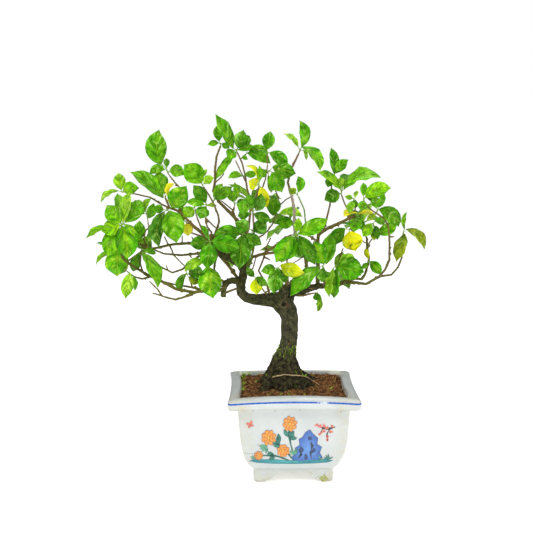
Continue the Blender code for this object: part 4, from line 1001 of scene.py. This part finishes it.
paintLook = {
    "raise": 0.10,
    "size": (1.10, 1.22),
    "shift": (-3.0, 27.0),  # sideways, and the height the lowest strokes start from
    "ink": [ink(44, 52, 60)] * 2,
    "hollow": (ink(38, 66, 120), ink(30, 52, 98)),
    "bloom": (ink(240, 168, 62), ink(226, 134, 44)),
    "heart": (ink(246, 206, 70), ink(226, 150, 40)),
    "foliage": (ink(58, 148, 126), ink(28, 104, 92)),
    "stem": [ink(28, 104, 92)] * 2,
    "spring": (ink(120, 184, 140), ink(64, 150, 120)),
    "rock": (ink(98, 148, 214), ink(52, 96, 172)),
    "moss": (ink(60, 178, 178), ink(24, 120, 130)),
    "coral": (ink(240, 142, 116), ink(222, 96, 74)),
    "skin": {
        "fixed": {"Coat Weight": 0.4, "Coat Roughness": 0.15},
        "grain": (620.0, (1, 1, 0.5)),
        "shades": ((0.72, 0.74, 0.76, 1), (1.12, 1.1, 1.1, 1)),
        "rough": (0.42, 0.24),
        "bump": (0.0001, 0.3),
    },
    # a garden rock right of the middle, with its holes and ledges
    "rockOutline": [(2, 22), (8, 20), (16, 19.5), (25, 20), (31, 22), (34, 26), (31, 31), (33, 37),
                    (28, 40), (29, 46), (24, 50), (20, 55), (15, 52), (12, 47), (8, 45), (9, 39),
                    (4, 36), (5, 30), (1, 27)],
    "holes": ((20, 46, 2.2, 1.8), (11, 34, 2.0, 3.0), (24, 33, 2.8, 1.7), (16, 26, 3.4, 1.6)),
    "ledges": (((7, 24), (12, 29), (8, 35)), ((22, 24), (20, 31), (24, 38), (21, 43)),
               ((28, 27), (30, 32))),
    # blooms on arching stems left of the rock, and their leaves
    "stems": (((4, 20), (-4, 32), (-16, 42), (-26, 46)), ((6, 20), (0, 36), (-4, 50), (-2, 60)),
              ((2, 20), (-10, 26), (-22, 29), (-34, 28))),
    "leaves": ((-12, 38, 12, 2.6, 7, "foliage"), (-2, 44, 12, 1.2, 7, "foliage"),
               (-26, 38, 10, 3.6, 6, "spring"), (-18, 26, 11, 3.2, 7, "foliage"),
               (4, 28, 9, 1.9, 5, "spring")),
    "blooms": ((-25, 47, 7.6), (-2, 61, 7.4), (-9, 33, 6.4), (-36, 28, 4.6)),
    # coral buds on a twig that leans in from the upper right
    "twigs": (((48, 58), (41, 55), (34, 56), (27, 60)), ((41, 55), (38, 50), (40, 45)),
              ((34, 56), (31, 51))),
    "buds": ((27, 60), (31, 58.5), (31, 51), (35, 53), (38, 57.5), (40, 45), (38.5, 49), (43, 53),
             (45, 59), (35, 59.5)),
    # a low bank of moss and grass under everything
    "bank": [(-46, 22), (-40, 24.5), (-30, 23.5), (-20, 24), (-8, 22.5), (8, 22), (24, 22.4), (38, 24),
             (46, 22), (40, 19.6), (24, 18.4), (2, 18), (-20, 18.4), (-38, 19.6)],
    "grass": ((-40, 22, 8, 1.6, 7, "spring", 0.26), (40, 22, 9, 1.5, 7, "foliage", 0.26),
              (33, 21, 7, 1.7, 5, "spring", 0.3)),
    "butterfly": (-45, 60, 4.2, 0.4),
}


def paintPatch(outline, colours, level):  # a thin drop of enamel inside an outline (x, z)
    bm = bmesh.new()
    layer = bm.verts.layers.float_color.new("tone")
    bmesh.ops.create_circle(bm, cap_ends=True, segments=len(outline), radius=0.01)
    (wide, tall), (aside, base) = paintLook["size"], paintLook["shift"]
    rim = bm.verts[:]
    for vert, (x, z) in zip(rim, outline):
        vert.co = (x * wide + aside, 0, (z - 19) * tall + base)
    heart = bmesh.ops.poke(bm, faces=bm.faces[:])["verts"][0]
    for vert in rim:
        vert[layer] = colours[1]
    heart[layer] = colours[0]
    longest = max((vert.co - heart.co).length for vert in rim)
    spokes = heart.link_edges[:] if longest < 5 else bm.edges[:]
    bmesh.ops.subdivide_edges(bm, edges=spokes, cuts=max(1, int(longest / 2.6)), use_grid_fill=True)
    for vert in bm.verts:
        start = Vector(((vert.co.x + potX) * mm, -0.2, vert.co.z * mm))
        place = potTree.ray_cast(start, Vector((0, 1, 0)))[0]
        vert.co = place - Vector((0, (paintLook["raise"] + 0.05 * level) * mm, 0))
    for vert in newVerts(bmesh.ops.extrude_face_region(bm, geom=bm.faces[:])):
        vert.co.y += 0.5 * mm
    bmesh.ops.recalc_face_normals(bm, faces=bm.faces)
    return bm


def turned(x, z, dx, dz, turn):
    return (x + dx * cos(turn) - dz * sin(turn), z + dx * sin(turn) + dz * cos(turn))


def around(x, z, reach, angle):
    return (x + reach * cos(angle), z + reach * sin(angle))


def blob(x, z, wide, tall, points=14, lobes=0, depth=0.0, turn=0.0, seed=0.0):
    outline = []
    for k in range(points):
        angle = tau * k / points
        reach = 1 + depth * sin(lobes * angle + seed) + 0.06 * sin(5 * angle + 3 * seed)
        outline.append(turned(x, z, wide * reach * cos(angle), tall * reach * sin(angle), turn))
    return outline


def leafOutline(x, z, length, wide, turn):
    half = ((0, 0), (0.2, 0.34), (0.45, 0.5), (0.72, 0.36), (1, 0))
    shape = half + tuple((along, -side) for along, side in half[3:0:-1])
    return [turned(x, z, along * length, side * wide, turn) for along, side in shape]


def strokeOutline(points, wide):  # a brush stroke that tapers at both ends
    left, right = [], []
    for k, (x, z) in enumerate(points):
        a, b = points[max(0, k - 1)], points[min(len(points) - 1, k + 1)]
        run = hypot(b[0] - a[0], b[1] - a[1])
        nx, nz = -(b[1] - a[1]) / run, (b[0] - a[0]) / run
        half = wide / 2 * (0.35 + 0.65 * sin(pi * (k + 0.5) / len(points)))
        left.append((x + nx * half, z + nz * half))
        right.append((x - nx * half, z - nz * half))
    return left + right[::-1]


def makePainting():
    look = paintLook
    rng = random.Random(11)
    strokes = []  # outline, colours, level

    def outlined(level, outline, finish, line=0.35):
        cx = sum(x for x, _ in outline) / len(outline)
        cz = sum(z for _, z in outline) / len(outline)
        wider = []
        for x, z in outline:
            away = max(0.01, hypot(x - cx, z - cz))
            wider.append((x + (x - cx) / away * line, z + (z - cz) / away * line))
        strokes.append((wider, look["ink"], level))
        strokes.append((outline, look[finish], level + 1))

    def lines(level, several, wide, finish="ink"):
        for points in several:
            strokes.append((strokeOutline(points, wide), look[finish], level))

    def bloom(x, z, size, level=8):
        for ring, (count, reach, petal) in enumerate(((8, 0.62, 0.46), (6, 0.34, 0.36))):
            for k in range(count):
                angle = tau * (k + 0.5 * ring) / count + 0.3 * x
                petals = blob(*around(x, z, size * reach, angle), size * petal, size * petal * 0.72,
                              12, 3, 0.07, angle, k)
                outlined(level + 2 * ring, petals, "bloom", 0.25)
        outlined(level + 4, blob(x, z, size * 0.2, size * 0.2, 10), "heart", 0.2)

    def spray(level, x, z, reach, angle, count, finish, wide=0.46):
        for _ in range(count):
            turn = angle + rng.uniform(-0.9, 0.9)
            away = rng.uniform(0.0, 0.35) * reach
            size = reach * rng.uniform(0.5, 0.8)
            leaf = leafOutline(*around(x, z, away, turn), size, size * wide, turn)
            outlined(level, leaf, finish, 0.18)

    outlined(0, look["rockOutline"], "rock", 0.4)
    for x, z, wide, tall in look["holes"]:
        outlined(2, blob(x, z, wide, tall, 12, 3, 0.12, 0.3 * x, x), "hollow", 0.2)
    lines(3, look["ledges"], 0.7)
    lines(1, look["stems"], 1.1, "stem")
    for values in look["leaves"]:
        spray(4, *values)
    for values in look["blooms"]:
        bloom(*values)
    lines(2, look["twigs"], 0.9)
    for x, z in look["buds"]:
        for k in range(4):
            angle = rng.uniform(0, tau)
            outline = blob(x + 1.2 * cos(angle), z + 1.0 * sin(angle), rng.uniform(0.9, 1.4),
                           rng.uniform(0.7, 1.1), 9, 3, 0.16, angle, k)
            strokes.append((outline, look["coral"], 4))
    outlined(0, look["bank"], "moss", 0.25)
    for values in look["grass"]:
        spray(3, *values)
    x, z, size, turn = look["butterfly"]
    for way, reach in ((0.9, 1.0), (2.2, 1.0), (-0.5, 0.7), (-2.7, 0.7)):
        wing = blob(*around(x, z, size * 0.62 * reach, way + turn), size * 0.56 * reach,
                    size * 0.34 * reach, 11, 3, 0.08, way + turn)
        outlined(2, wing, "coral", 0.18)
    lines(4, [((x - 1.6 * sin(turn + 0.4), z - 1.8), (x, z), (x + 0.8, z + 1.8))], 0.6)
    bm = joined(paintPatch(*stroke) for stroke in strokes)
    print("painting:", len(strokes), "strokes,", len(bm.faces), "faces")
    finish = grainySkin("enamelPaint", **look["skin"])
    addPiece("potPainting", meshOf(bm, sharp=40), [finish], "glazed_porcelain")


makePainting()


# soil, its chips and fibres, moss and the small plants in it

soilLook = {
    "cut": 97.0,  # the bed is kept from this height up
    "voxel": 1.7,
    "chips": 3000,
    "chipRoom": 63.5,
    "chipSizes": (0.7, 0.9, 1.1, 1.3, 1.7),
    "chipJitter": 0.16,  # how uneven a chip is, against its size
    "fibres": 420,
    "fibreStep": 1.9,
    "dark": ink(66, 44, 24),
    "brown": ink(136, 90, 48),
    "light": ink(190, 144, 92),
    "bed": ink(84, 56, 34),
    "skin": {
        "fixed": {"Specular IOR Level": 0.2},
        "grain": (1100.0, (1, 1, 1)),
        "shades": (grey(0.5), (1.3, 1.28, 1.26, 1)),
        "rough": (1.0, 0.8),
        "bump": (0.0004, 0.8),
        "over": (("mottle", (300.0, 0.4, 0.62), 0.3, ink(66, 44, 24)),),
    },
}
greenLook = {
    "sprout": (ink(126, 176, 30), ink(176, 212, 60)),
    "moss": (ink(70, 102, 14), ink(160, 200, 40)),
    "potMoss": (ink(140, 150, 60), ink(184, 188, 110)),
    "clumps": 62,
    # places of the sprouts and how tall they are
    "sprouts": [(-18, 53, 12), (-16, 57, 12), (-11, 59, 11), (-19, 45, 9), (-20, 34, 8), (-20, 12, 8),
                (-20, 4, 9), (-19, -8, 7), (-20, -14, 6), (1, 58, 6), (6, 59, 5), (56, -47, 4),
                (38, -50, 4), (43, -48, 4), (92, -20, 5), (98, 22, 4), (72, 52, 5), (14, -44, 4),
                (62, 50, 4), (-2, 20, 4), (27, -46, 4)],
    "skin": {
        "fixed": {"Specular IOR Level": 0.3},
        "grain": (1000.0, (1, 1, 1)),
        "shades": ((0.7, 0.72, 0.6, 1), (1.25, 1.22, 1.2, 1)),
        "rough": (0.85, 0.6),
        "bump": (0.0002, 0.5),
    },
}


def drop(tree, x, y, height=0.16):  # where a plumb line from above meets a surface
    return tree.ray_cast(Vector((x * mm, y * mm, height)), Vector((0, 0, -1)))[0]


def openSoil(tree, x, y, rise):  # the place there, unless wood stands above it
    place, wood = drop(tree, potX + x, y), drop(woodTree, potX + x, y)
    if place and place.z >= 0.1 and not (wood and wood.z > place.z + rise):
        return place


def soilChips(tree):
    look = soilLook
    room = look["chipRoom"]
    rng = random.Random(5)
    batches, placed = [], 0
    while placed < look["chips"]:
        x, y = rng.uniform(-room, room), rng.uniform(-room, room)
        place = openSoil(tree, x, y, 0.0022)
        if not place:
            continue
        size = rng.choice(look["chipSizes"]) * rng.uniform(0.8, 1.3)
        banked = 1.6 * ease(max(abs(x), abs(y)) / room, 0.75, 0.97)  # heaped against the walls
        heap = rng.uniform(-0.2, 1.6) + banked * rng.random() * (y > 10 or rng.random() < 0.3)
        turn = Matrix.Rotation(rng.uniform(0, tau), 4, "Z")
        turn = turn @ Matrix.Rotation(rng.gauss(0, 0.35), 4, "Y")
        turn = turn @ Matrix.Rotation(rng.uniform(0, tau), 4, "X")
        shape = Matrix.Diagonal((rng.uniform(1.2, 3.6), rng.uniform(0.45, 0.8), rng.uniform(0.35, 0.6), 1))
        if not batches or len(batches[-1].verts) > 700:
            batches.append(bmesh.new())
            batches[-1].verts.layers.float_color.new("tone")
        lifted = Matrix.Translation(place + Vector((0, 0, heap * mm)))
        made = bmesh.ops.create_icosphere(batches[-1], subdivisions=1, radius=size * mm,
                                          matrix=lifted @ turn @ shape)
        pick = rng.random()
        if pick < 0.72:
            colour = mixed(look["dark"], look["brown"], pick * 1.6)
        else:
            colour = mixed(look["brown"], look["light"], (pick - 0.72) * 3.6)
        layer = batches[-1].verts.layers.float_color["tone"]
        for vert in made["verts"]:
            loose = Vector((rng.uniform(-1, 1), rng.uniform(-1, 1), rng.uniform(-1, 1)))
            vert.co += loose * size * look["chipJitter"] * mm
            vert[layer] = colour
        placed += 1
    strands = []
    while len(strands) < look["fibres"]:
        x, y = rng.uniform(-60, 60), rng.uniform(-60, 60)
        heading = rng.uniform(0, tau)
        points = []
        for step in range(5):
            place = openSoil(tree, x, y, 0.003)
            if not place:
                break
            points.append(place + Vector((0, 0, (1.6 + 0.9 * sin(step * 1.5 + x)) * mm)))
            heading += rng.uniform(-0.5, 0.5)
            x += look["fibreStep"] * cos(heading)
            y += look["fibreStep"] * sin(heading)
            if max(abs(x), abs(y)) > 63:
                break
        if len(points) > 3:
            strands.append(tubePart(points, [rng.uniform(0.16, 0.3) * mm] * len(points), 4,
                                    mixed(look["brown"], look["light"], rng.random())))
    whole = joined(batches + strands)
    print("soil chips:", placed, "fibres:", len(strands), "faces:", len(whole.faces))
    return meshOf(whole)


def makeSoil():
    look = soilLook
    bm = remeshed(upperPart("soil", look["cut"]), look["voxel"])
    bm.normal_update()
    for vert in bm.verts:
        if vert.normal.z > 0.4 and vert.co.z > 0.103:
            vert.co.z += (0.9 * noise.noise(vert.co * 120) + 0.6 * noise.noise(vert.co * 420)) * mm
    paintAll(bm, lambda v: mixed(look["bed"], look["dark"], 0.5 + noise.noise(v.co * 260)))
    tree = BVHTree.FromBMesh(bm)
    material = grainySkin("soilGrains", **look["skin"])
    addPiece("soilBed", meshOf(bm), [material], "planting_soil", "soil")
    addPiece("soilChips", soilChips(tree), [material], "planting_soil")
    return tree


soilTree = makeSoil()


def ground(x, y):  # top of the soil or wood under a place
    x, y = min(potX + 61, max(potX - 61, x)), min(60.5, max(-60.5, y))
    hits = [drop(tree, x, y, 0.135) for tree in (soilTree, woodTree)]
    return max((hit for hit in hits if hit), key=lambda hit: hit.z)


def sproutAt(place, tall, rng):  # a few short curved blades from one root
    parts = []
    for _ in range(3):
        turn, lean = rng.uniform(0, tau), rng.uniform(0.25, 0.9)
        size = tall * rng.uniform(0.6, 1.0)
        points = []
        for s in (0.0, 0.25, 0.5, 0.75, 1.0):
            out = lean * s * s * size
            rise = s * size * (1 - 0.25 * lean * s)
            points.append(place + Vector((cos(turn) * out, sin(turn) * out, rise)) * mm)
        radii = [radius * mm for radius in (0.30, 0.5, 0.62, 0.45, 0.08)]
        parts.append(tubePart(points, radii, 5, mixed(*greenLook["sprout"], rng.random()), 0.4))
    return parts


def mossClump(rng):  # short blades along a crack of the trunk's foot
    height = rng.choice((rng.uniform(146, 161), rng.uniform(146, 161), rng.uniform(108, 142)))
    turn = rng.uniform(0, tau)
    out = Vector((cos(turn), sin(turn), 0))
    middle = Vector((38 + rng.uniform(-8, 8), 0, height)) * mm + out * 0.07
    if not woodTree.ray_cast(middle, -out)[0]:
        return None
    parts = []
    long = rng.uniform(1.0, 4.0) if height > 145 else rng.uniform(0.6, 1.6)
    for _ in range(rng.choice((3, 4, 6))):
        start = middle + Vector((rng.uniform(-0.5, 0.5), 0, rng.uniform(-long, long))) * mm
        place, normal = woodTree.ray_cast(start, -out)[:2]
        if not place:
            continue
        spin = Matrix.Rotation(rng.uniform(0, tau), 3, normal)
        side = spin @ normal.orthogonal().normalized()
        tilt = (normal * 0.5 + side * 0.35 + Vector((0, 0, 0.7))).normalized()
        tall = rng.uniform(1.2, 2.6) * mm
        base = place - normal * 0.3 * mm
        points = [base, base + tilt * tall * 0.55, base + (tilt + Vector((0, 0, 0.3))) * tall]
        parts.append(tubePart(points, [0.34 * mm, 0.4 * mm, 0.1 * mm], 4,
                              mixed(*greenLook["moss"], rng.random() ** 1.5)))
    return parts


def mossOnPot(rng):  # on the front right foot
    parts = []
    for _ in range(100):
        x, z = rng.gauss(potX + 36.5, 3.4), abs(rng.gauss(4.5, 3.0))
        place = potTree.ray_cast(Vector((x * mm, -0.1, z * mm)), Vector((0, 1, 0)))[0]
        if not place or place.y > -0.04:
            continue
        bm = bmesh.new()
        bmesh.ops.create_icosphere(bm, subdivisions=1, radius=rng.uniform(0.3, 0.8) * mm,
                                   matrix=Matrix.Translation(place) @ Matrix.Diagonal((1.3, 0.35, 1, 1)))
        shade = mixed(*greenLook["potMoss"], rng.random())
        paintAll(bm, lambda vert: shade)
        parts.append(bm)
    return parts


def makeGreens():
    rng = random.Random(23)
    parts = []
    for x, y, tall in greenLook["sprouts"]:
        for _ in range(2):
            place = ground(x + rng.uniform(-2, 2), y + rng.uniform(-2, 2))
            parts += sproutAt(place, tall * rng.uniform(0.7, 1.0), rng)
    clumps = 0
    while clumps < greenLook["clumps"]:
        clump = mossClump(rng)
        if clump is not None:
            parts += clump
            clumps += 1
    parts += mossOnPot(rng)
    whole = joined(parts)
    print("greens:", len(parts), "blades,", len(whole.faces), "faces")
    finish = grainySkin("mossAndSprouts", **greenLook["skin"])
    addPiece("mossAndSprouts", meshOf(whole), [finish], "leaf")


makeGreens()

rootLook = {
    "steps": 33,
    "tones": (ink(206, 182, 140), ink(150, 126, 88)),
    "shoot": (ink(120, 190, 30), ink(176, 220, 60)),
    "shootStep": 21,  # where the green shoot stands on it
}


def makeSurfaceRoot():
    bm = mergedCopy("surface_root")
    left, centres = [v.co.copy() for v in bm.verts], []
    while left:  # the rings of the frame's tube, gathered one by one
        ring = [spot for spot in left if (spot - left[0]).length < 2.2 * mm]
        left = [spot for spot in left if spot not in ring]
        centres.append(sum(ring, Vector()) / len(ring))
    bm.free()
    centres.sort(key=lambda c: c.x)
    stops = [k / (len(centres) - 1) for k in range(len(centres))]
    steps = rootLook["steps"]
    points, radii = [], []
    for k in range(steps + 1):
        place = curvePoint(stops, centres, k / steps)
        points.append(place + Vector((0, 0, noise.noise(place * 300) * 0.5)) * mm)
        radii.append((0.80 - 0.12 * k / steps + 0.1 * sin(k * 1.9)) * mm)
    root = bmesh.new()
    growTube(root, points, radii, 9)
    paintAll(root, lambda v: mixed(*rootLook["tones"], 0.5 + noise.noise(v.co * 420)))
    rng = random.Random(3)
    tip = points[rootLook["shootStep"]]
    parts = [root]
    for turn in (0.6, 2.2, 4.1, 5.3):
        out = Vector((cos(turn), -abs(sin(turn)) * 0.5, 0.55 + 0.4 * sin(turn)))
        blade = [tip, tip + out * 1.6 * mm, tip + out * 3.2 * mm, tip + out * 4.6 * mm]
        parts.append(tubePart(blade, [0.4 * mm, 1.0 * mm, 0.9 * mm, 0.1 * mm], 6,
                              mixed(*rootLook["shoot"], rng.random()), 0.4))
    addPiece("surfaceRoot", meshOf(joined(parts)), [youngStem], "pale_root", "surface_root")
    print("surface root along", len(centres), "places")


makeSurfaceRoot()

netLook = {  # the net keeps its frame shape
    "fixed": {"Specular IOR Level": 0.4},
    "grain": (500.0, (1, 1, 1)),
    "shades": (ink(22, 22, 22), ink(48, 46, 44)),
    "rough": (0.55, 0.8),
    "bump": (0.0002, 0.3),
    "toned": False,
}


def finishNet():
    netPlastic = grainySkin("netPlastic", **netLook)
    for place in nodes["drain_mesh"].material_slots:
        place.link = "OBJECT"
        place.material = netPlastic


finishNet()

# floor, light and camera

stageLook = {
    "floor": {"Base Color": ink(250, 250, 250), "Roughness": 0.9, "Specular IOR Level": 0.1,
              "Emission Color": (1, 1, 1, 1), "Emission Strength": 0.41},
    "skyForLight": 0.64,
    "skyInGloss": 0.10,
    "skySeen": 1.0,
    "lights": (("keyLight", (-0.7, -1.1, 1.6), 0.7, 16.0), ("topLight", (0.3, 0.6, 1.7), 1.0, 12.0),
               ("fillLight", (1.2, -1.1, 0.9), 0.8, 6.0)),  # name, place, size, power
    "aim": (0.0, 0.0, 0.22),
    "lens": 71.75,
    "eye": (-0.0093, -1.3026, 0.4373),
    "tip": 90 - 7.74,
    "swing": -0.93,
}


def makeStage():
    look, scene = stageLook, bpy.context.scene
    bm = bmesh.new()
    bmesh.ops.create_grid(bm, x_segments=8, y_segments=8, size=6.0)
    floor = linked("paleFloor", meshOf(bm))
    floor.data.materials.append(newSkin("paperFloor", look["floor"]).material)
    scene.world = bpy.data.worlds.new("studio")
    scene.world.use_nodes = True
    kit = skinNodes(scene.world.node_tree)
    sky = kit.tree.nodes["Background"].inputs
    rays = kit.put("LightPath").outputs
    level = look["skyForLight"]
    for ray, other in (("Is Glossy Ray", look["skyInGloss"]), ("Is Camera Ray", look["skySeen"])):
        level = kit.put("Mix", {0: rays[ray], 2: level, 3: other}).outputs[0]
    sky["Color"].default_value = (1, 1, 1, 1)
    kit.tree.links.new(level, sky["Strength"])
    for name, place, size, power in look["lights"]:
        light = linked(name, bpy.data.lights.new(name, "AREA"))
        light.data.size, light.data.energy = size, power
        light.location = place
        aim = Vector(look["aim"]) - Vector(place)
        light.rotation_euler = aim.to_track_quat("-Z", "Y").to_euler()
    camera = linked("camera", bpy.data.cameras.new("camera"))
    camera.data.lens, camera.data.sensor_width, camera.data.clip_start = look["lens"], 36.0, 0.05
    camera.location = look["eye"]
    camera.rotation_euler = (radians(look["tip"]), 0, radians(look["swing"]))
    scene.camera = camera
    scene.view_settings.view_transform = "Standard"
    print("stage ready")


makeStage()
bpy.context.view_layer.update()
